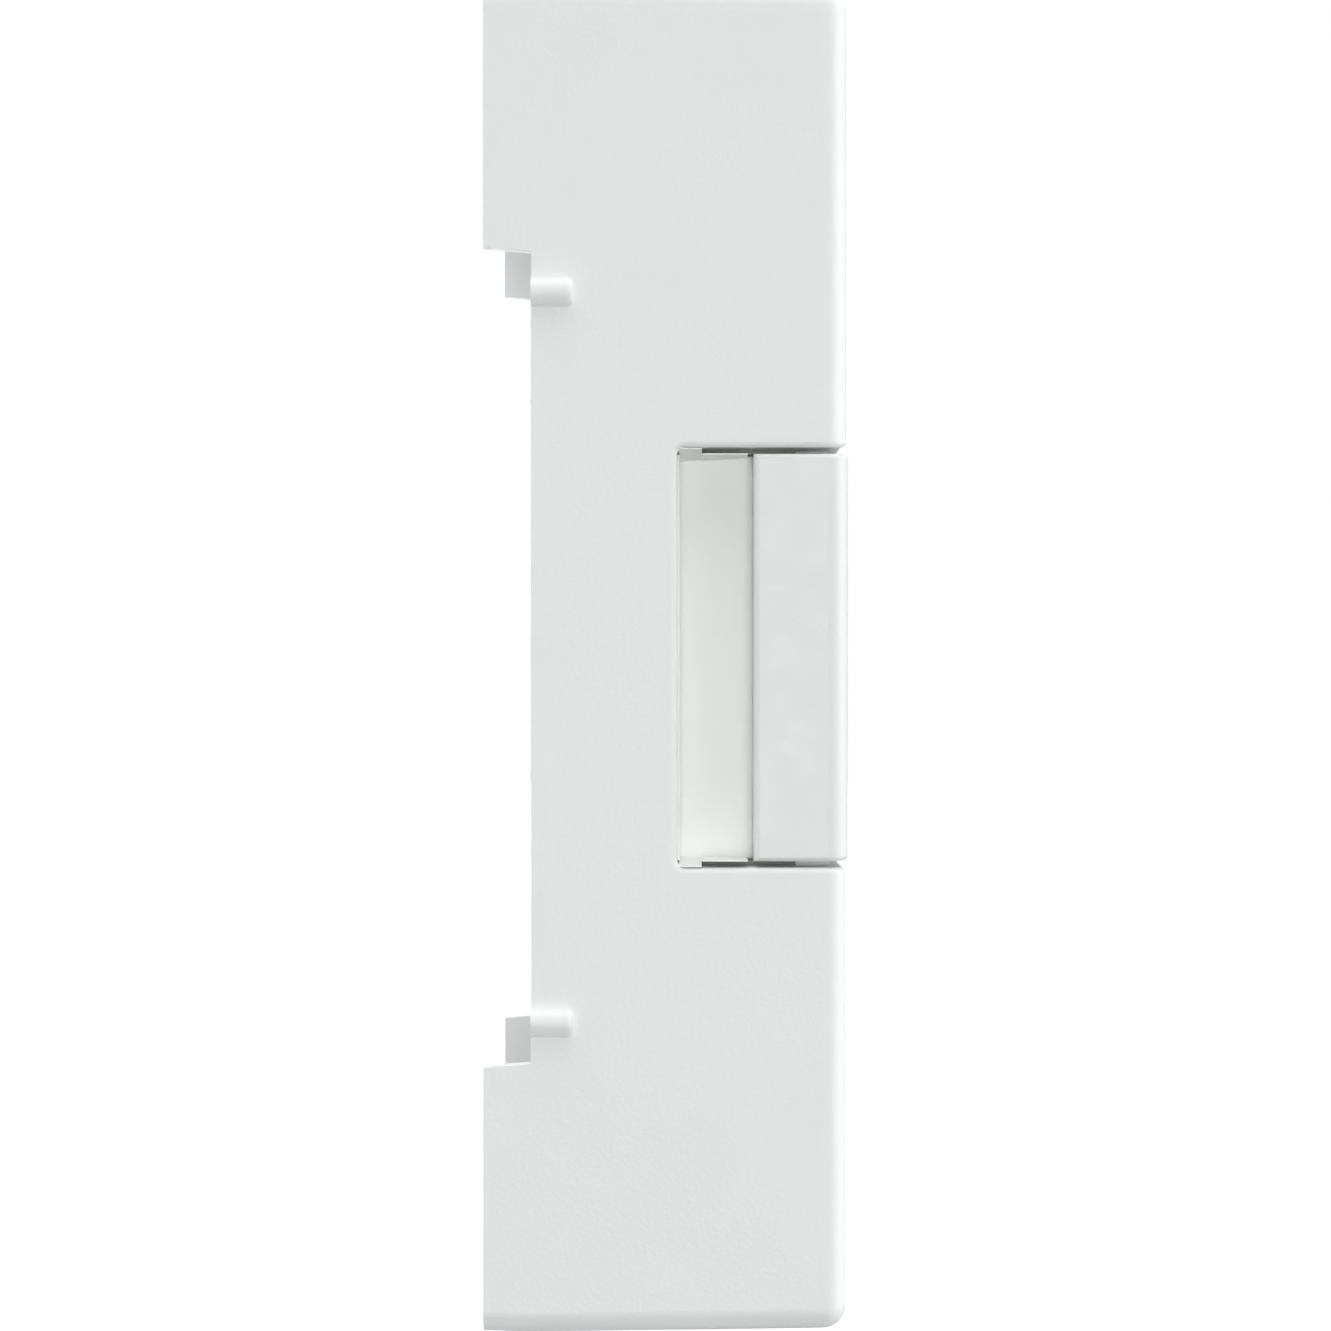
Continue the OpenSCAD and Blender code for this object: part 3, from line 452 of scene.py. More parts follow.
def sign_finish(base):
    """The button's plastic with the bell printed in grey: the sign attribute is the distance inside the
    bell's outline, so the print's edge stays sharp between the mesh's points."""
    made = base.copy()
    made.name = "bell_print"
    tree = made.node_tree
    shader = tree.nodes["Principled BSDF"]
    f = Finish.__new__(Finish)
    f.material, f.tree, f.shader = made, tree, shader
    inside = f.node("Attribute", attribute_name="sign").outputs["Fac"]
    plain = shader.inputs["Base Color"].links[0].from_socket
    f.set("Base Color", f.blend(f.span(inside, 0, 1, (-0.01, 0.03)), plain, (0.2, 0.215, 0.225)))
    return made


def lens_finish():
    """Coated lens glass: deep glass with a painted blue and violet sheen that changes towards the rim,
    standing for the coating's reflection.
    """
    f = Finish("lens_glass", IOR=1.5, Specular_IOR_Level=0.14)
    edge = f.node("LayerWeight", {"Blend": 0.35}).outputs["Facing"]
    # painted sheen: the base colour turns violet where the lens is seen edge-on
    f.set("Base Color", f.blend(edge, (0.004, 0.006, 0.016), (0.06, 0.03, 0.11)))
    f.set("Roughness", f.span(f.noise(200.0), 0.0, 0.03))
    return f.material


WHITE = (0.885, 0.895, 0.89)
finish = {
    "housing_white": moulded("housing_white", WHITE, rough=0.46, subsurface=0.06),
    "cover_white": moulded("cover_white", shade(WHITE, 0.975), rough=0.52, grain=0.5, cell=2000.0),
    # the frame's white is brighter than the housing's: painted light that lifts the shaded floors of the
    # side recesses
    "frame_white": moulded("frame_white", (0.975, 0.985, 0.967), rough=0.5, grain=0.3),
    # the button's white is darker than the housing's: painted shade that brings its face, which catches
    # more light, to the wall's tone
    "button_white": moulded("button_white", shade(WHITE, 0.935), rough=0.4, grain=0.28, cell=3200.0,
                            subsurface=0.06),
    "light_guide": clear_resin("light_guide", (0.83, 0.9, 0.94), 0.22, 0.25, milk=0.5),
    "seal_rubber": rubber("seal_rubber", (0.045, 0.045, 0.047)),
    "flap_rubber": rubber("flap_rubber", (0.66, 0.67, 0.67), 0.55),
    "screw_steel": metal("screw_steel", (0.66, 0.66, 0.65), 0.3),
    "spring_steel": metal("spring_steel", (0.6, 0.6, 0.61), 0.25),
    "circuit_board": circuit("circuit_board", (0.012, 0.085, 0.04), (0.03, 0.16, 0.075)),
    "dark_board": circuit("dark_board", (0.006, 0.006, 0.008), (0.014, 0.014, 0.017)),
    "led_cream": clear_resin("led_cream", (0.85, 0.8, 0.55), 0.2, 0.3, milk=0.3),
    "switch_black": moulded("switch_black", (0.03, 0.03, 0.032), vary=0.12),
    "switch_red": moulded("switch_red", (0.5, 0.06, 0.04), rough=0.35, vary=0.06),
    "flex_amber": film("flex_amber", (0.5, 0.24, 0.035)),
    "window_glass": window_finish(),
    "lens_black": moulded("lens_black", (0.02, 0.02, 0.022), rough=0.42, grain=0.25, vary=0.12),
    "lens_glass": lens_finish(),
    "chip_black": moulded("chip_black", (0.022, 0.022, 0.024), rough=0.5, vary=0.12, cell=4200.0),
    "fresnel_white": clear_resin("fresnel_white", (0.86, 0.87, 0.85), 0.34, 0.12, milk=0.6),
    "shroud_black": moulded("shroud_black", (0.025, 0.025, 0.026), rough=0.55, vary=0.12),
    "can_steel": metal("can_steel", (0.7, 0.69, 0.66), 0.3, (1, 8, 1)),
    "speaker_dark": metal("speaker_dark", (0.12, 0.12, 0.13), 0.45),
    "mesh_dark": woven("mesh_dark", (0.05, 0.05, 0.052)),
    "mic_gold": metal("mic_gold", (0.8, 0.6, 0.26), 0.25),
    "pad_grey": rubber("pad_grey", (0.32, 0.32, 0.3), 0.75),
    "spreader_alu": metal("spreader_alu", (0.78, 0.79, 0.8), 0.35, (1, 1, 12)),
    "battery_blue": moulded("battery_blue", (0.03, 0.075, 0.22), rough=0.32, grain=0.2, vary=0.08,
                            cell=700.0),
    "plug_ivory": moulded("plug_ivory", (0.8, 0.76, 0.62), rough=0.4),
    "terminal_black": moulded("terminal_black", (0.03, 0.03, 0.031), rough=0.5, vary=0.12),
    "terminal_brass": metal("terminal_brass", (0.72, 0.52, 0.22), 0.28),
    "reset_orange": moulded("reset_orange", (0.72, 0.2, 0.025), rough=0.38, vary=0.06),
    "plunger_grey": moulded("plunger_grey", (0.6, 0.61, 0.61), rough=0.4),
    "vent_membrane": woven("vent_membrane", (0.12, 0.125, 0.13), 4200.0),
}
for row in frame["record"]["subparts"]:
    cad = frame["nodes"][row["node"]]
    cad.data.materials.clear()
    cad.data.materials.append(finish[row["material_slot"]])


# ------------------------------------------------------------------ housing

def depth_below(p):
    """How deep a point lies below the housing's sides and front, with the rounded edge between them."""
    over = np.maximum(np.abs(p[:, 0]) - (HALF_W - EDGE_R), 0)
    ahead = np.maximum((FRONT + EDGE_R) - p[:, 1], 0)
    return EDGE_R - np.maximum(np.hypot(over, ahead), np.maximum(
        np.abs(p[:, 0]) - HALF_W, FRONT - p[:, 1]) + EDGE_R)


DRAFT = ([-36.4, -31.7, -21.7, -11.7, -4.8, 0.0], [67.33, 67.4, 67.55, 67.65, 67.75, 67.6])


def shell_skin():
    """Outer walls from the front face round the front edge to the rear rim, then back along the inner
    walls. The half height follows the mould's draft, and the front edge is a quarter circle."""
    def wide(y, inset=0.0):
        half = float(np.interp(y, *DRAFT)) - inset
        return 2 * (HALF_W - inset), 2 * half
    loops = []
    for t in np.linspace(0, math.pi / 2, 13):
        inset, y = EDGE_R * (1 - math.sin(t)), FRONT + EDGE_R * (1 - math.cos(t))
        loops.append(outline(*wide(y, inset), EDGE_R - inset, y, n=12))
    for y in DRAFT[0][1:]:
        loops.append(outline(*wide(y), EDGE_R, y, n=12))
    for y in (0.0, -4.8, -20.0, FRONT + WALL):
        loops.append(outline(2 * (HALF_W - WALL), 2 * (HALF_H - WALL), 0.5, y, n=12))
    return loft(loops)


def inner_ribs():
    """Shelves, cross bars, screw bosses and the seal's ledge, each set a little into the walls."""
    w = HALF_W - WALL + 0.4
    h = HALF_H - WALL
    parts = [block(-w, w, -34.8, -14.6, *sorted((s * 21.02, s * 22.5))) for s in (-1, 1)]
    parts += [block(-w, w, -22, -19, z - 2.5, z + 2.5) for z in (55, 32, -55)]
    parts += [turned([(0.02, -22.0 if z else -17.9), (2.2, -22.0 if z else -17.9),
                      (2.2, COVER_FRONT), (0.02, COVER_FRONT)], x, z, 24) for x, z in COVER_SCREWS]
    ledge = [outline(2 * (w - a), 2 * (h + b), 0.4, y, n=2)
             for a, b, y in ((0, 0.4, -9.0), (0, 0.4, -7.6), (1.8, -1.4, -7.6), (1.8, -1.4, -9.0))]
    return parts, loft(ledge, closed=True)


def rounded_channel():
    """Tool for the front opening: a wide rectangle with rounded rear corners, carried across."""
    t = np.linspace(0, math.pi / 2, 9)
    top = np.column_stack([CUT_REAR - CUT_R + CUT_R * np.sin(t), CUT_HALF - CUT_R + CUT_R * np.cos(t)])
    low = np.column_stack([top[::-1, 0], -top[::-1, 1]])
    ends = np.array([[-42.0, -CUT_HALF], [-42.0, CUT_HALF]])
    return prism_x(np.concatenate([top, low, ends]), -30, 30)


def grille_places():
    """Centres of the sound holes: staggered rows inside a circle."""
    j, i = np.meshgrid(np.arange(-4, 5), np.arange(-4, 5), indexing="ij")
    x = (i + np.where(j % 2 == 0, 0, 0.5)) * 2.4
    z = j * 2.4 * math.sqrt(3) / 2
    keep = np.hypot(x, z) < 8.2
    return np.column_stack([x[keep], z[keep] + SPEAKER_Z])


def housing():
    """Front housing: the hollow skin with peg bosses and ribs added, and the front opening, the notch for
    the wall plate, the window's step, the sensor's, microphone's and sound holes taken away."""
    ob = new_object("housing_shell", shell_skin())
    bosses = together([turned([(0.6, -9.0), (1.0, -8.97), (1.27, -8.86), (1.42, -8.65), (BOSS_R, -8.4),
                               (BOSS_R, -4.0), (0.02, -4.0)], sx * HALF_W, sz * BOSS_Z, 40)
                       for sx, sz in CORNERS])
    ribs, ledge = inner_ribs()
    notch = prism_x([(-NOTCH_D, -40.6), (1, -41.08), (1, 41.08), (-NOTCH_D, 40.6)], -30, 30)
    stepped = [loft([outline(w, h, r, y, 0, CAMERA_Z, 12) for w, h, r, y in (
                   (34, 30, 8, -40), (34, 30, 8, -35.2), (30, 26, 6, -35.2), (30, 26, 6, -33))]),
               turned([(6.6, -40), (6.6, -35.4), (5.5, -35.4), (5.5, -33)], 0, PIR_Z, 64),
               turned([(0.6, -40), (0.6, -33)], 14.5, PIR_Z, 24)]
    stepped += [turned([(0.7, -40), (0.7, -33)], x, z, 20) for x, z in grille_places()]
    turn = np.arange(32) * TAU / 32
    lock = loft([np.column_stack([1.3 * np.cos(turn), -2.4 + 1.3 * np.sin(turn), np.full(32, z)])
                 for z in (-70.0, -64.5)])
    sockets = together([turned([(0.9, -8.2), (0.9, -3.0)], sx * 24.6, sz * BOSS_Z, 24)
                        for sx, sz in CORNERS])
    # short lips that close the gaps beside the button's front, the lower ones nearer the sides
    lips = together([block(*sorted((sx * x, sx * (x + 0.4))), -34.9, -31.4,
                           *sorted((sz * GAP_FOOT, sz * 21.3)))
                     for sx in (-1, 1) for sz, x in ((1, 17.4), (-1, 20.6))])
    carve(ob, ("UNION", bosses), *[("UNION", r) for r in ribs], ("UNION", ledge),
          ("DIFFERENCE", rounded_channel()), ("DIFFERENCE", notch),
          ("DIFFERENCE", together(stepped + [lock])), ("DIFFERENCE", sockets), ("UNION", lips))

    def width(p):
        skin = np.abs(depth_below(p)) < 0.04
        w = np.zeros(len(p))
        w[skin & (np.abs(p[:, 2]) < CUT_HALF + 0.05) & (p[:, 1] < CUT_REAR + 0.05)] = 0.65
        front = (p[:, 1] < FRONT + 0.02) & (np.abs(p[:, 2]) > CUT_HALF + 0.5)
        w[front] = 0.12
        from_eye = np.hypot(p[:, 0], p[:, 2] - PIR_Z)
        w[front & (from_eye < 7) & (from_eye > 6)] = 0.3
        w[front & (p[:, 2] > CAMERA_Z - 16) & (np.abs(p[:, 2] - CAMERA_Z) < 15.2) & (p[:, 2] > 25)] = 0.3
        rear = p[:, 1] > -0.02
        w[rear & ((np.abs(p[:, 0]) > 24.9) | (np.abs(p[:, 2]) > 67.5))] = 0.12
        notch_edge = (skin & (p[:, 1] > -NOTCH_D - 0.02) & (np.abs(p[:, 2]) < 41.2)
                      & (np.abs(p[:, 0]) > 24.9))
        w[notch_edge & (np.abs(np.abs(p[:, 2]) - BOSS_Z) > 1.5)] = 0.05
        w[(p[:, 2] < -67.4) & (p[:, 1] > -4) & (np.abs(p[:, 0]) < 1.4)] = 0.2
        return w
    soften(ob, width, 5)
    present(ob, "housing", finish["housing_white"], ["front_housing"], 30)


# ------------------------------------------------------------------ button and its frame

def call_button():
    """Block across the front: rounded at its two front uprights, open behind, with a round hole for the
    light ring."""
    t = np.linspace(0, math.pi / 2, 13)
    corner = np.column_stack([HALF_W - EDGE_R + EDGE_R * np.sin(t),
                              BUTTON_FRONT + EDGE_R * (1 - np.cos(t))])
    right = np.concatenate([corner, [[HALF_W, BUTTON_REAR]]])
    shape = np.concatenate([right, (right * [-1, 1])[::-1]])
    rows = [np.column_stack([shape, np.full(len(shape), z)]) for z in (-FRAME_HALF, FRAME_HALF)]
    ob = new_object("button_block", loft(rows))
    pins = [turned([(0.02, -34.9), (1.5, -34.9), (1.5, -29.25), (1.2, -29.1), (0.02, -29.1)],
                   sx * PIN_X, sz * PIN_Z, 24) for sx, sz in CORNERS]
    hooks = [block(sx * HOOK_X - 2.5, sx * HOOK_X + 2.5, -34.9, -27.6, *sorted((sz * 17.3, sz * 18.4)))
             for sx, sz in CORNERS]
    carve(ob, ("DIFFERENCE", block(-23, 23, -34.6, BUTTON_REAR - 1.1, -18.9, 18.9)),
          ("DIFFERENCE", block(-19.9, 19.9, -31.2, -20, -22, 22)),
          ("UNION", together(pins + hooks)),
          ("DIFFERENCE", turned([(12.45, -40), (12.45, -30)], n=128)))

    def width(p):
        w = np.zeros(len(p))
        w[(np.abs(p[:, 2]) > FRAME_HALF - 0.02)] = 0.5
        w[(np.abs(p[:, 0]) > HALF_W - 0.02) & (p[:, 1] > BUTTON_REAR - 0.02)] = 0.6
        w[(np.abs(p[:, 0]) < 24.5) & (p[:, 1] > -31.3)] = 0.0
        w[(p[:, 1] < BUTTON_FRONT + 0.02) & (np.hypot(p[:, 0], p[:, 2]) < 12.6)] = 0.25
        return w
    soften(ob, width, 5)
    present(ob, "button", finish["button_white"], ["call_button"], 30)


def wing(side_x, side_z):
    """Wall above or below a side recess, drawn to a fine edge at the mouth, and the wedge at its rear that
    starts at the housing's edge and slopes down to the wall's own level at the floor. Each is a stack of
    two four-cornered sections across X."""
    def section(x, rear, front, low_rear, low_front, high):
        y = [front, rear, rear, front]
        z = side_z * np.array([low_front, low_rear, high, high])
        return np.column_stack([np.full(4, side_x * x), y, z])
    deep = 19.78 if side_z > 0 else 20.05
    middle = deep + 0.17
    wall = loft([section(24.9, -21.85, -26.5, 20.3, 20.3, FRAME_HALF),
                 section(18.9, -21.85, -26.5, middle, 20.28, FRAME_HALF)])
    wedge = loft([section(24.88, -19.6, -21.9, 20.86, 20.86, 20.96),
                  section(18.9, -19.6, -21.9, deep, middle, 20.96)])
    return wall, wedge


def button_frame():
    """Block that fills the opening behind the button: its sides are the floors of the two recesses, and
    a wing above and below each floor makes the recess's walls."""
    ob = new_object("recess_frame", block(-FLOOR_X, FLOOR_X, -30.5, -18.2, -FRAME_HALF, FRAME_HALF))
    holes = [turned([(1.55, -33), (1.55, -27)], sx * PIN_X, sz * PIN_Z, 24) for sx, sz in CORNERS]
    holes += [block(sx * HOOK_X - 2.7, sx * HOOK_X + 2.7, -33, -27, sz * 17.7 - 0.9, sz * 17.7 + 0.9)
              for sx, sz in CORNERS]
    steps = [("DIFFERENCE", block(-17.9, 17.9, -28.5, -10, -18.9, 18.9)), ("DIFFERENCE", together(holes))]
    for sx in (-1, 1):
        near, far = sorted((sx * 18.5, sx * 22.9))
        steps.append(("UNION", block(near, far, -19.7, -18.25, -FRAME_HALF + 0.01, FRAME_HALF - 0.01)))
        near, far = sorted((sx * 18.7, sx * 19.58))
        steps.append(("UNION", block(near, far, -27.14, -26.96, -19.4, 19.4)))
        for sz in (-1, 1):
            near, far = sorted((sx * 19.3, sx * 22.85))
            low, high = sorted((sz * 12, sz * 20.35))
            steps.append(("UNION", block(near, far, -19.0, -14.7, low, high)))
            for skin in wing(sx, sz):
                steps.append(("UNION", skin))
    carve(ob, *steps)

    def width(p):
        w = np.zeros(len(p))
        w[(np.abs(p[:, 0]) > 24.8) & (np.abs(p[:, 2]) > 19)] = 0.03
        w[(np.abs(p[:, 0]) > 22.85) & (np.abs(p[:, 0]) < 23) & (p[:, 1] < -19.6)] = 0.12
        w[(np.abs(p[:, 0]) > 19.5) & (p[:, 1] < -26.9) & (np.abs(p[:, 2]) < 19.3)] = 0.05
        return w
    soften(ob, width, 3)
    present(ob, "housing", finish["frame_white"], ["button_frame"], 30)


def coil(x, z, front, length, r, wire, turns):
    """Compression spring along Y. The wire's middle goes round as it goes along, and stays nearly level in
    the first and last half turn; a circle of the wire's radius is carried along it."""
    s = np.linspace(0, 1, int(28 * turns) + 1)[:, None]
    side = (np.arange(10) * TAU / 10)[None, :]
    level = 0.5 / turns
    along = 0.86 * np.clip((s - level) / (1 - 2 * level), 0, 1) + 0.14 * s
    turn = TAU * turns * s
    reach = r + wire * np.cos(side)
    return loft(np.stack([x + reach * np.cos(turn), front + length * along + wire * np.sin(side),
                          z + reach * np.sin(turn)], -1))


def springs():
    """Four springs behind the button and one behind the tamper pin."""
    four = together([coil(sx * PIN_X, sz * PIN_Z, SPRING_FRONT, 3.5, 2.0, 0.25, 4) for sx, sz in CORNERS])
    one = coil(TAMPER_X, TAMPER_Z, TAMPER_FOOT + 0.25, 2.4, 2.0, 0.2, 3)
    for name, skin, node, joint, anchor_y, keep in (
            ("button_coils", four, "button_springs", "button_press", SPRING_FOOT, 0.87),
            ("tamper_coil", one, "tamper_spring", "tamper_press", TAMPER_FOOT, 0.47)):
        ob = present(new_object(name, skin), "housing", finish["spring_steel"], [node], 60)
        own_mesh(ob)


def gap_seals():
    """Soft strips that close the gaps above and below the button, set back from the sides."""
    strips = [block(*sorted((sx * 20.5, sx * 21.1)), -31.4, -21.95, *sorted((sz * GAP_FOOT, sz * 21.1)))
              for sx, sz in CORNERS]
    ob = new_object("gap_seals", together(strips))
    soften(ob, lambda p: np.full(len(p), 0.06), 2)
    present(ob, "housing", finish["pad_grey"])


def light_ring():
    """Light guide: a ring with a gently domed front and a flange behind the button's front wall."""
    dome = [(10.3 + 2.0 * s, BUTTON_FRONT + 0.28 * (2 * s - 1) ** 4) for s in np.linspace(0, 1, 13)]
    profile = [(10.2, -36.2)] + dome + [
        (12.4, -36.2), (12.4, -34.56), (12.9, -34.53), (12.9, -33.82), (12.4, -33.8), (12.4, -33.0),
        (10.2, -33.0)]
    ob = new_object("light_ring", turned(profile, n=128, closed=True))
    present(ob, "button", finish["light_guide"], ["button_light_ring"], 40)


def smooth_step(value, low, high):
    """Goes from 0 at low to 1 at high by s s (3 - 2 s), s the share of the way."""
    s = np.clip((value - low) / (high - low), 0, 1)
    return s * s * (3 - 2 * s)


def bell_sign(x, z):
    """How far a place is inside the outline of a simple bell, in millimetres: a round-headed body that
    widens downwards, a rim bar, a knob and a clapper."""
    z = z - 0.35
    head = np.sqrt(np.maximum(1.9 ** 2 - (z - 1.0) ** 2, 0))
    half = np.where(z > 1.0, head, 1.9 + 1.25 * np.exp(-(z + 2.3) * 1.1))
    body = np.minimum(np.minimum(half - np.abs(x), z + 2.3), 2.9 - z)
    rim = np.minimum(3.5 - np.abs(x), 0.34 - np.abs(z + 2.45))
    knob = 0.55 - np.hypot(x, z - 3.15)
    clapper = np.minimum(0.95 - np.hypot(x, z + 3.25), -3.05 - z)
    return np.maximum.reduce([body, rim, knob, clapper])


def button_cap():
    """Round cap: a shallow dish, 0.3 mm deep in the middle, with a rounded rim and a bell pressed 0.12 mm
    into it. Behind it a post reaches to the switch."""
    n = 256
    radii = np.concatenate([np.linspace(0.05, 5.2, 70), np.linspace(5.35, 9.7, 14)])
    loops = []
    for r in radii:
        ring = circle(r, 0.0, n=n)
        dish = 0.3 * (1 - (r / 9.7) ** 2)
        pressed = smooth_step(bell_sign(ring[:, 0], ring[:, 2]), -0.05, 0.1)
        ring[:, 1] = BUTTON_FRONT + 0.02 + dish + 0.12 * pressed
        loops.append(ring)
    for t in np.linspace(0.15, math.pi / 2, 6):
        rim_y = BUTTON_FRONT + 0.02 + 0.4 * (1 - math.cos(t))
        loops.append(circle(9.75 + 0.4 * math.sin(t), rim_y, n=n))
    loops += [circle(r, y, n=n) for r, y in ((10.15, -34.4), (2.2, -34.4), (2.2, -33.75), (2.1, -33.65))]
    ob = new_object("bell_cap", loft(loops))
    co = np.concatenate(loops)
    face = (co[:, 1] < -35.9).astype(float)
    layer = ob.data.attributes.new("sign", "FLOAT", "POINT")
    layer.data.foreach_set("value", (bell_sign(co[:, 0], co[:, 2]) * face - (1 - face)).astype(np.float32))
    present(ob, "button", sign_finish(finish["button_white"]), ["button_cap"], 30)


# ------------------------------------------------------------------ front openings

def camera_parts():
    """Front glass, lens barrel and front lens."""
    glass = new_object("front_glass", soft_plate(33.8, 29.8, 7.9, -36.35, -35.35, 0, CAMERA_Z, 0.4, 0.15,
                                                 16, 6))
    present(glass, "housing", finish["window_glass"], ["camera_window"])
    # barrel: a stepped tube whose bore narrows in baffle steps behind the front lens
    steps = np.linspace(0, 1, 7)
    baffle = [(5.25 - 1.75 * s, -32.75 + 0.7 * s + (0.0 if i % 2 else 0.08)) for i, s in enumerate(steps)]
    profile = ([(5.25, -34.5), (5.4, -34.7), (5.75, -34.7), (5.8, -34.55), (6.0, -34.55), (6.05, -34.7),
                (6.3, -34.7), (6.4, -34.6), (6.4, -31.0), (5.0, -31.0), (5.0, -22.0), (4.0, -22.0),
                (4.0, -24.0), (3.4, -24.0), (3.4, -31.6)] + baffle[::-1])
    barrel = new_object("lens_tube", turned(profile, 0, CAMERA_Z, 96, closed=True))
    present(barrel, "housing", finish["lens_black"], ["lens_barrel"], 25)
    # front lens: part of a sphere of radius curve, cut to a disc of radius rim
    curve, rim = 14, 5.2
    dome = [(0.02, -35.1)] + [(rim * s, -35.1 + curve - math.sqrt(curve ** 2 - (rim * s) ** 2))
                              for s in np.linspace(0.08, 1, 12)]
    lens = new_object("lens_dome", turned(dome + [(rim, -32.85), (0.02, -32.85)], 0, CAMERA_Z, 96))
    present(lens, "housing", finish["lens_glass"], ["lens_front"], 30)


def motion_lens():
    """Domed milky lens with concentric ridges: a shallow cap plus a saw-tooth of 0.75 mm pitch."""
    radii = np.concatenate([[0.03], np.arange(0.25, 5.6, 0.125)])
    saw = np.where(radii < 5.3, 0.13 * ((radii / 0.75) % 1.0), 0.0)
    loops = [circle(r, -36.5 + 0.35 * (r / 6.3) ** 2 + s, 0, PIR_Z, 96) for r, s in zip(radii, saw)]
    rim = [(5.8, -36.2), (6.1, -36.22), (6.35, -36.12), (6.5, -35.95), (6.5, -35.42), (5.4, -35.42),
           (5.4, -34.8), (4.8, -34.8), (4.8, -35.42), (0.03, -35.42)]
    loops += [circle(r, y, 0, PIR_Z, 96) for r, y in rim]
    ob = new_object("motion_lens", loft(loops))
    present(ob, "housing", finish["fresnel_white"], ["pir_lens"], 20)


# ------------------------------------------------------------------ rear side

def rear_cover():
    """Cover plate with its openings, countersunk screw seats, a shallow bead round the wire screws and
    two ears for the flap's hinge."""
    w, h = 2 * 22.9, 2 * 65.65
    ob = new_object("rear_plate", loft([outline(w, h, 0.3, y, n=3) for y in (COVER_FRONT, COVER_REAR)]))
    bead = [outline(24.6 + a, 12.6 + a, 1.6 + a / 2, y, 0, TERMINAL_Z, 6)
            for a, y in ((0, -5.2), (0, -4.55), (0.15, -4.45), (0.85, -4.45), (1.0, -4.55), (1.0, -5.2))]
    holes = [loft([outline(21.6, 9.6, 1, y, 0, TERMINAL_Z, 6) for y in (-9, 2)]),
             loft([outline(9.6, 3.8, 1.5, y, 0, SERVICE_Z, 8) for y in (-9, 2)]),
             turned([(1.85, -9), (1.85, 2)], RESET_X, RESET_Z, 40),
             turned([(1.55, -9), (1.55, 2)], TAMPER_X, TAMPER_Z, 40),
             turned([(0.8, -9), (0.8, -5.3), (2.5, -5.3), (2.5, 2)], -11, SERVICE_Z, 40)]
    holes += [turned([(1.15, -9), (1.15, -6.0), (2.1, -6.0), (2.1, 2)], x, z, 40)
              for x, z in COVER_SCREWS]
    ears = []
    for sx in (-1, 1):
        a, b = sorted((sx * 4.9, sx * 6.5))
        ears += [bar_x(a, b, PIVOT_Y, PIVOT_Z, 1.15, 32, 0.1),
                 block(a + 0.03, b - 0.03, -5.2, PIVOT_Y, -48.5, -46.3)]
    pins = together([bar_x(a, b, PIVOT_Y, PIVOT_Z, 0.65, 24, 0.05) for a, b in ((-7.5, -4.0), (4.0, 7.5))])
    stiff = [soft_plate(37, 0.9, 0.45, -5.2, -4.5, 0, z, 0.01, 0.12, 8, 3) for z in COVER_RIBS]
    carve(ob, ("UNION", loft(bead, closed=True)), ("UNION", together(stiff)),
          ("DIFFERENCE", together(holes)), *[("UNION", e) for e in ears], ("DIFFERENCE", pins))

    def width(p):
        w = np.zeros(len(p))
        w[np.abs(p[:, 1] - COVER_REAR) < 0.02] = 0.1
        for z in COVER_RIBS:
            w[np.abs(p[:, 2] - z) < 0.6] = 0
        w[(np.abs(p[:, 0]) > 22.8) | (np.abs(p[:, 2]) > 65)] = 0
        w[(np.abs(p[:, 0]) < 7) & (np.abs(p[:, 2] - PIVOT_Z) < 1.6)] = 0
        return w
    soften(ob, width, 2)
    present(ob, "housing", finish["cover_white"], ["rear_cover"], 30)


def screw_skin(x, z, seat, r, high, shank_r, length, recess=0.55, arm=0.22, turn=0.0):
    """Pan head with a cross recess: the head's height falls off as a circle towards its rim, and inside
    the cross the surface drops by the recess depth with steep walls. The shank runs forwards."""
    n = 96
    loops = [circle(shank_r, seat - length, x, z, n), circle(shank_r, seat, x, z, n),
             circle(r, seat, x, z, n), circle(r, seat + 0.35 * high, x, z, n)]
    for s in np.concatenate([np.linspace(0.99, 0.66, 8), np.linspace(0.64, 0.01, 34)]):
        ring = circle(r * s, 0.0, x, z, n)
        a, b = ring[:, 0] - x, ring[:, 2] - z
        a, b = a * math.cos(turn) - b * math.sin(turn), a * math.sin(turn) + b * math.cos(turn)
        reach = 0.62 * r
        cross = np.maximum(np.minimum(arm - np.abs(a), reach - np.abs(b)),
                           np.minimum(arm - np.abs(b), reach - np.abs(a)))
        ring[:, 1] = (seat + high * (0.35 + 0.65 * math.sqrt(max(0.0, 1 - s ** 2.6)))
                      - recess * smooth_step(cross, -0.04, 0.05))
        loops.append(ring)
    return loft(loops)


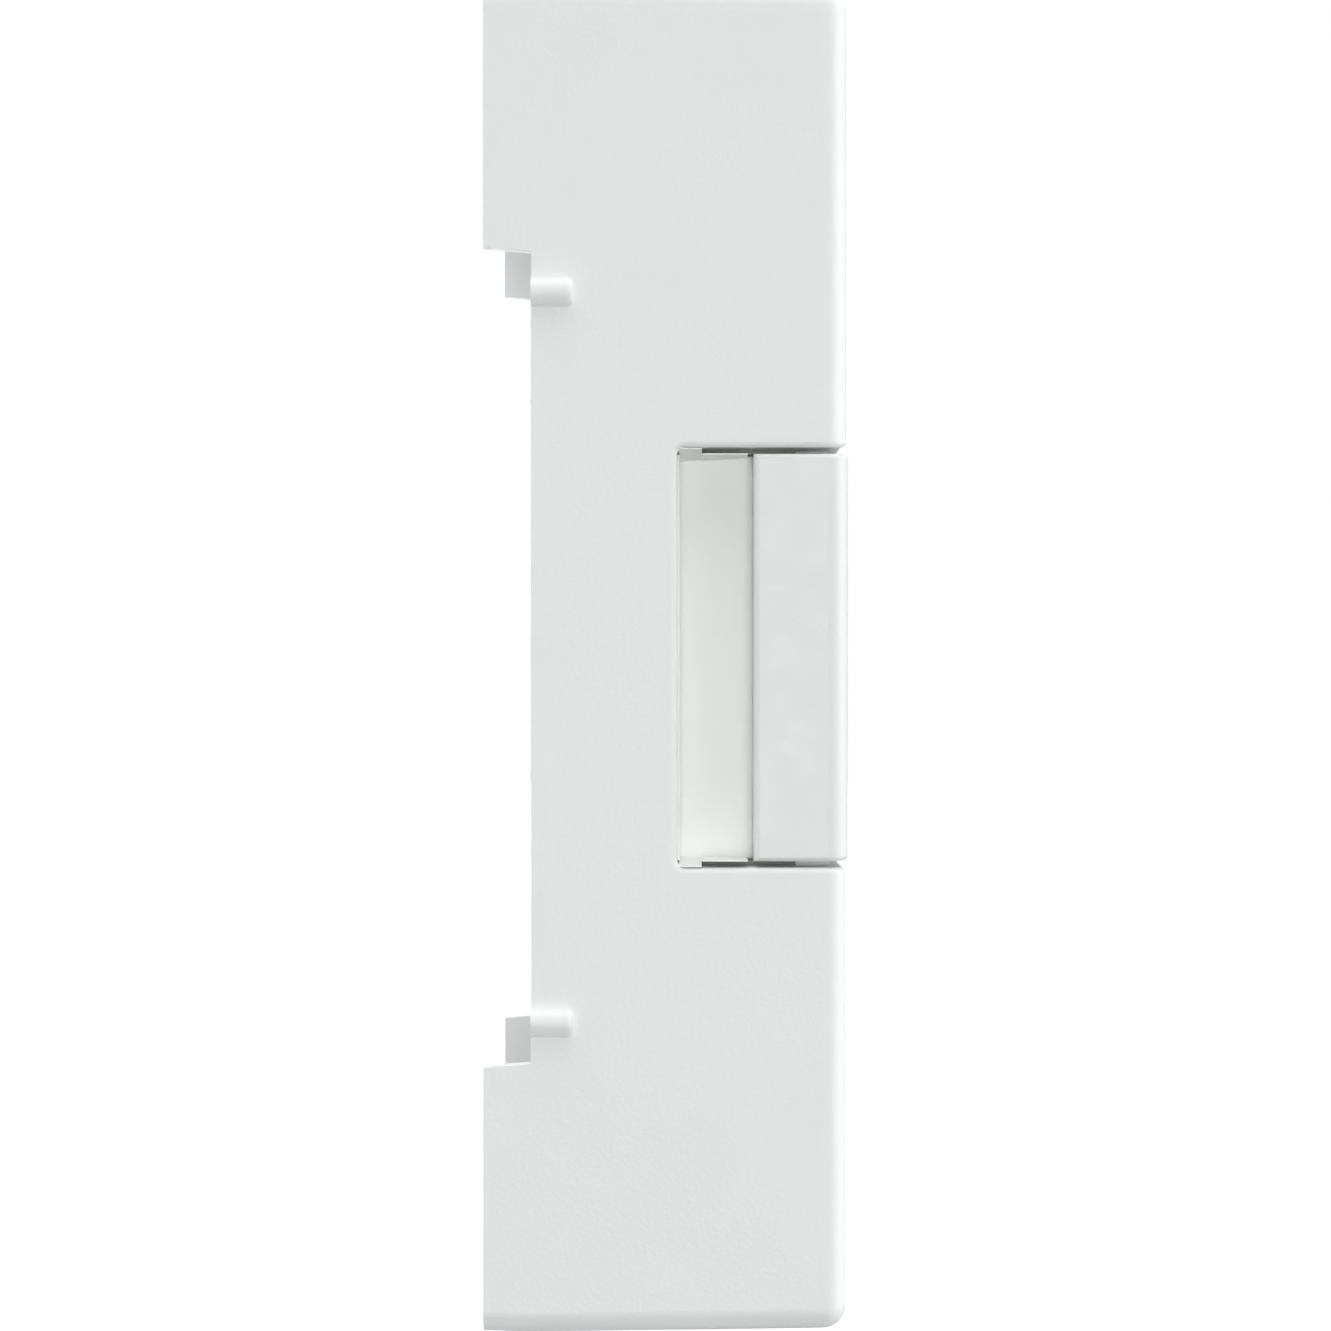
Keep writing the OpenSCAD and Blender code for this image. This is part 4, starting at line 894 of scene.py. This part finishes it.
def rear_pieces():
    """Screws, wire block, charging socket, reset button and tamper pin."""
    turns = [0.3, 1.1, 0.7, 0.1, 1.4, 0.5]
    screws = together([screw_skin(x, z, -5.9, 1.9, 1.08, 0.75, 6.0, turn=a)
                       for (x, z), a in zip(COVER_SCREWS, turns)])
    present(new_object("plate_screws", screws), "housing", finish["screw_steel"],
            ["cover_screws"], 32)
    brass = together([screw_skin(sx * WIRE_SCREW_X, TERMINAL_Z, -6.0, 2.9, 1.08, 1.45, 4.6, 0.6, 0.34, a)
                      for sx, a in ((-1, 0.5), (1, 1.2))])
    present(new_object("wire_screws", brass), "housing", finish["terminal_brass"],
            ["terminal_screws"], 32)
    # wire block: a low block with a wall between the two screws and a seat for each
    ob = new_object("wire_block", soft_plate(21, 9, 0.8, -12, -6.0, 0, TERMINAL_Z, 0.05, 0.25))
    wells = [turned([(1.5, -11), (1.5, -5)], sx * WIRE_SCREW_X, TERMINAL_Z, 32) for sx in (-1, 1)]
    walls = [block(a, b, -6.5, -5.05, TERMINAL_Z - 4.2, TERMINAL_Z + 4.2)
             for a, b in ((-0.5, 0.5), (-10.2, -9.2), (9.2, 10.2))]
    carve(ob, ("DIFFERENCE", together(wells)), ("UNION", together(walls)))
    soften(ob, lambda p: np.where(p[:, 1] > -5.1, 0.12, 0.0), 3)
    present(ob, "housing", finish["terminal_black"], ["terminal_block"])
    # charging socket: a rounded metal shell, open to the rear, and its tongue
    loops = [outline(9 - a, 3.2 - a, 1.5 - a / 2, y, 0, SERVICE_Z, 10)
             for a, y in ((0, -12), (0, -5.0), (0.1, -4.9), (0.4, -4.9), (0.5, -5.0), (0.6, -5.2),
                          (0.6, -11))]
    ob = new_object("charging_socket", loft(loops))
    present(ob, "housing", finish["can_steel"], ["usb_connector"])
    tongue = new_object("socket_tongue", soft_plate(6.8, 0.7, 0.2, -11.5, -6.0, 0, SERVICE_Z, 0.02, 0.15,
                                                    4, 3))
    present(tongue, "housing", finish["terminal_black"])
    pads = together([block(x - 0.13, x + 0.13, -8.6, -6.3, z - 0.03, z + 0.03)
                     for x in np.arange(-2.75, 2.8, 0.5) for z in (SERVICE_Z - 0.36, SERVICE_Z + 0.36)])
    present(new_object("socket_contacts", pads), "housing", finish["mic_gold"])
    # reset button with a finger dish, and the tamper pin with a rounded end
    cap = new_object("reset_cap", turned(
        [(0.02, -7.9), (2.6, -7.9), (2.6, -6.87), (1.8, -6.85), (1.8, -5.3), (1.72, -5.08), (1.5, -4.96),
         (1.1, -4.97), (0.6, -5.06), (0.02, -5.1)], RESET_X, RESET_Z, 48))
    present(cap, "reset", finish["reset_orange"], ["reset_button"])
    pin = new_object("tamper_pin", turned(
        [(0.02, -8), (2.4, -8), (2.4, -6.87), (1.5, -6.85), (1.5, -1.2), (1.42, -0.9), (1.15, -0.68),
         (0.7, -0.6), (0.02, -0.6)], TAMPER_X, TAMPER_Z, 48))
    present(pin, "tamper", finish["plunger_grey"], ["tamper_plunger"])


def socket_flap():
    """Rubber flap: a soft slab with a raised grip lip at its free end, hung from a round barrel."""
    ob = new_object("rubber_flap", soft_plate(13, 7.3, 1.2, -4.65, -3.25, 0, -52.55, 0.15, 0.45, 8, 4))
    neck = block(-4.7, 4.7, -4.6, -3.35, -49.6, -47.3)
    barrel = bar_x(-4.8, 4.8, PIVOT_Y, PIVOT_Z, 0.75, 40, 0.1)
    pin = bar_x(-6.4, 6.4, PIVOT_Y, PIVOT_Z, 0.6, 32, 0.08)
    lip = soft_plate(7.0, 1.1, 0.5, -3.6, -2.85, 0, -55.2, 0.05, 0.35, 6, 4)
    carve(ob, ("UNION", neck), ("UNION", barrel), ("UNION", pin), ("UNION", lip))
    soften(ob, lambda p: np.where((np.abs(p[:, 0]) < 4.75) & (p[:, 2] > -49.5) & (p[:, 1] > -3.4),
                                  0.15, 0.0), 3)
    present(ob, "flap", finish["flap_rubber"], ["usb_flap"])


housing()
call_button()
button_frame()
gap_seals()
springs()
light_ring()
button_cap()
camera_parts()
motion_lens()
rear_cover()
rear_pieces()
socket_flap()


# ------------------------------------------------------------------ floor, light and camera

# soft sky, alike from both sides: direction of each bright patch (its X part counts both ways), how
# narrow it is, and its strength
SKY = [((0.998, -0.03, -0.05), 90.0, 16.7), ((0.6, -0.1, 0.79), 10.0, 0.6), ((0, 0, 1), 8.0, 3.2),
       ((0, 0, -1), 8.0, 0.95), ((0, -1, 0), 6.0, 2.65), ((0, -1, 0), 40.0, 1.0), ((0, 1, 0), 6.0, 2.2)]
SKY_LEVEL = 0.07


def studio():
    """Pale floor, a soft sky that is brightest at both sides, above and in front, and three weak lamps."""
    f = Finish("floor_white", Roughness=0.9, Specular_IOR_Level=0.1, Emission_Color=(1, 1, 1, 1),
               Emission_Strength=0.75)
    f.shader.inputs["Base Color"].default_value = (0.9, 0.9, 0.9, 1)
    grid = np.linspace(-1500, 1500, 9)
    x, y = np.meshgrid(grid, grid, indexing="ij")
    k = np.arange(8)[:, None] * 9 + np.arange(8)[None, :]
    faces = np.stack([k, k + 9, k + 10, k + 1], -1).reshape(-1, 4).tolist()
    floor = new_object("floor", (np.stack([x.ravel(), y.ravel(), np.full(81, -HALF_H)], 1), faces))
    floor.data.materials.append(f.material)
    floor.visible_diffuse = False
    floor.visible_glossy = False
    floor.visible_shadow = False

    world = bpy.data.worlds.new("sky")
    bpy.context.scene.world = world
    world.use_nodes = True
    tree = world.node_tree
    tree.nodes.clear()
    way = tree.nodes.new("ShaderNodeTexCoord").outputs["Generated"]
    axes = tree.nodes.new("ShaderNodeSeparateXYZ")
    tree.links.new(way, axes.inputs[0])

    def step(operation, first, second):
        made = tree.nodes.new("ShaderNodeMath")
        made.operation = operation
        for k, value in enumerate((first, second)):
            if isinstance(value, bpy.types.NodeSocket):
                tree.links.new(value, made.inputs[k])
            else:
                made.inputs[k].default_value = value
        return made.outputs[0]

    # light from each patch falls off as a power of the cosine of the angle to its direction
    level = SKY_LEVEL
    side = step("ABSOLUTE", axes.outputs[0], 0.0)
    for (a, b, c), power, strength in SKY:
        cosine = step("ADD", step("MULTIPLY", side, a),
                      step("ADD", step("MULTIPLY", axes.outputs[1], b),
                           step("MULTIPLY", axes.outputs[2], c)))
        patch = step("MULTIPLY", step("POWER", step("MAXIMUM", cosine, 0.0), power), strength)
        level = step("ADD", patch, level)
    sky = tree.nodes.new("ShaderNodeBackground")
    tree.links.new(level, sky.inputs["Strength"])
    sky.inputs["Color"].default_value = (0.985, 1.0, 0.995, 1)
    plain = tree.nodes.new("ShaderNodeBackground")
    plain.inputs["Color"].default_value = (1, 1, 1, 1)
    path = tree.nodes.new("ShaderNodeLightPath")
    mix = tree.nodes.new("ShaderNodeMixShader")
    tree.links.new(path.outputs["Is Camera Ray"], mix.inputs[0])
    tree.links.new(sky.outputs[0], mix.inputs[1])
    tree.links.new(plain.outputs[0], mix.inputs[2])
    out = tree.nodes.new("ShaderNodeOutputWorld")
    tree.links.new(mix.outputs[0], out.inputs["Surface"])

    target = Vector((0, -0.018, 0))
    for name, place, size, power in (("lamp_high", (-0.25, -0.15, 0.75), 0.6, 0.8),
                                     ("lamp_front", (-0.2, -0.8, 0.25), 0.5, 0.4),
                                     ("lamp_rear", (0.35, 0.7, 0.35), 0.5, 0.5)):
        lamp = bpy.data.lights.new(name, "AREA")
        lamp.shape, lamp.size, lamp.energy = "DISK", size, power
        ob = bpy.data.objects.new(name, lamp)
        ob.location = place
        ob.rotation_euler = (target - Vector(place)).to_track_quat("-Z", "Y").to_euler()
        bpy.context.scene.collection.objects.link(ob)


def set_camera():
    """Camera at the object's mid height, level, that looks along +X at its side."""
    lens = bpy.data.cameras.new("view")
    lens.sensor_width = 36.0
    lens.angle = math.radians(21.6)
    lens.shift_y = -0.006
    lens.clip_start = 0.01
    ob = bpy.data.objects.new("view", lens)
    ob.location = (-0.3736, -0.01825, 0.0)
    ob.rotation_euler = (math.pi / 2, 0.0, -math.pi / 2)
    bpy.context.scene.collection.objects.link(ob)
    bpy.context.scene.camera = ob


studio()
set_camera()
bpy.context.scene.view_settings.view_transform = "Standard"
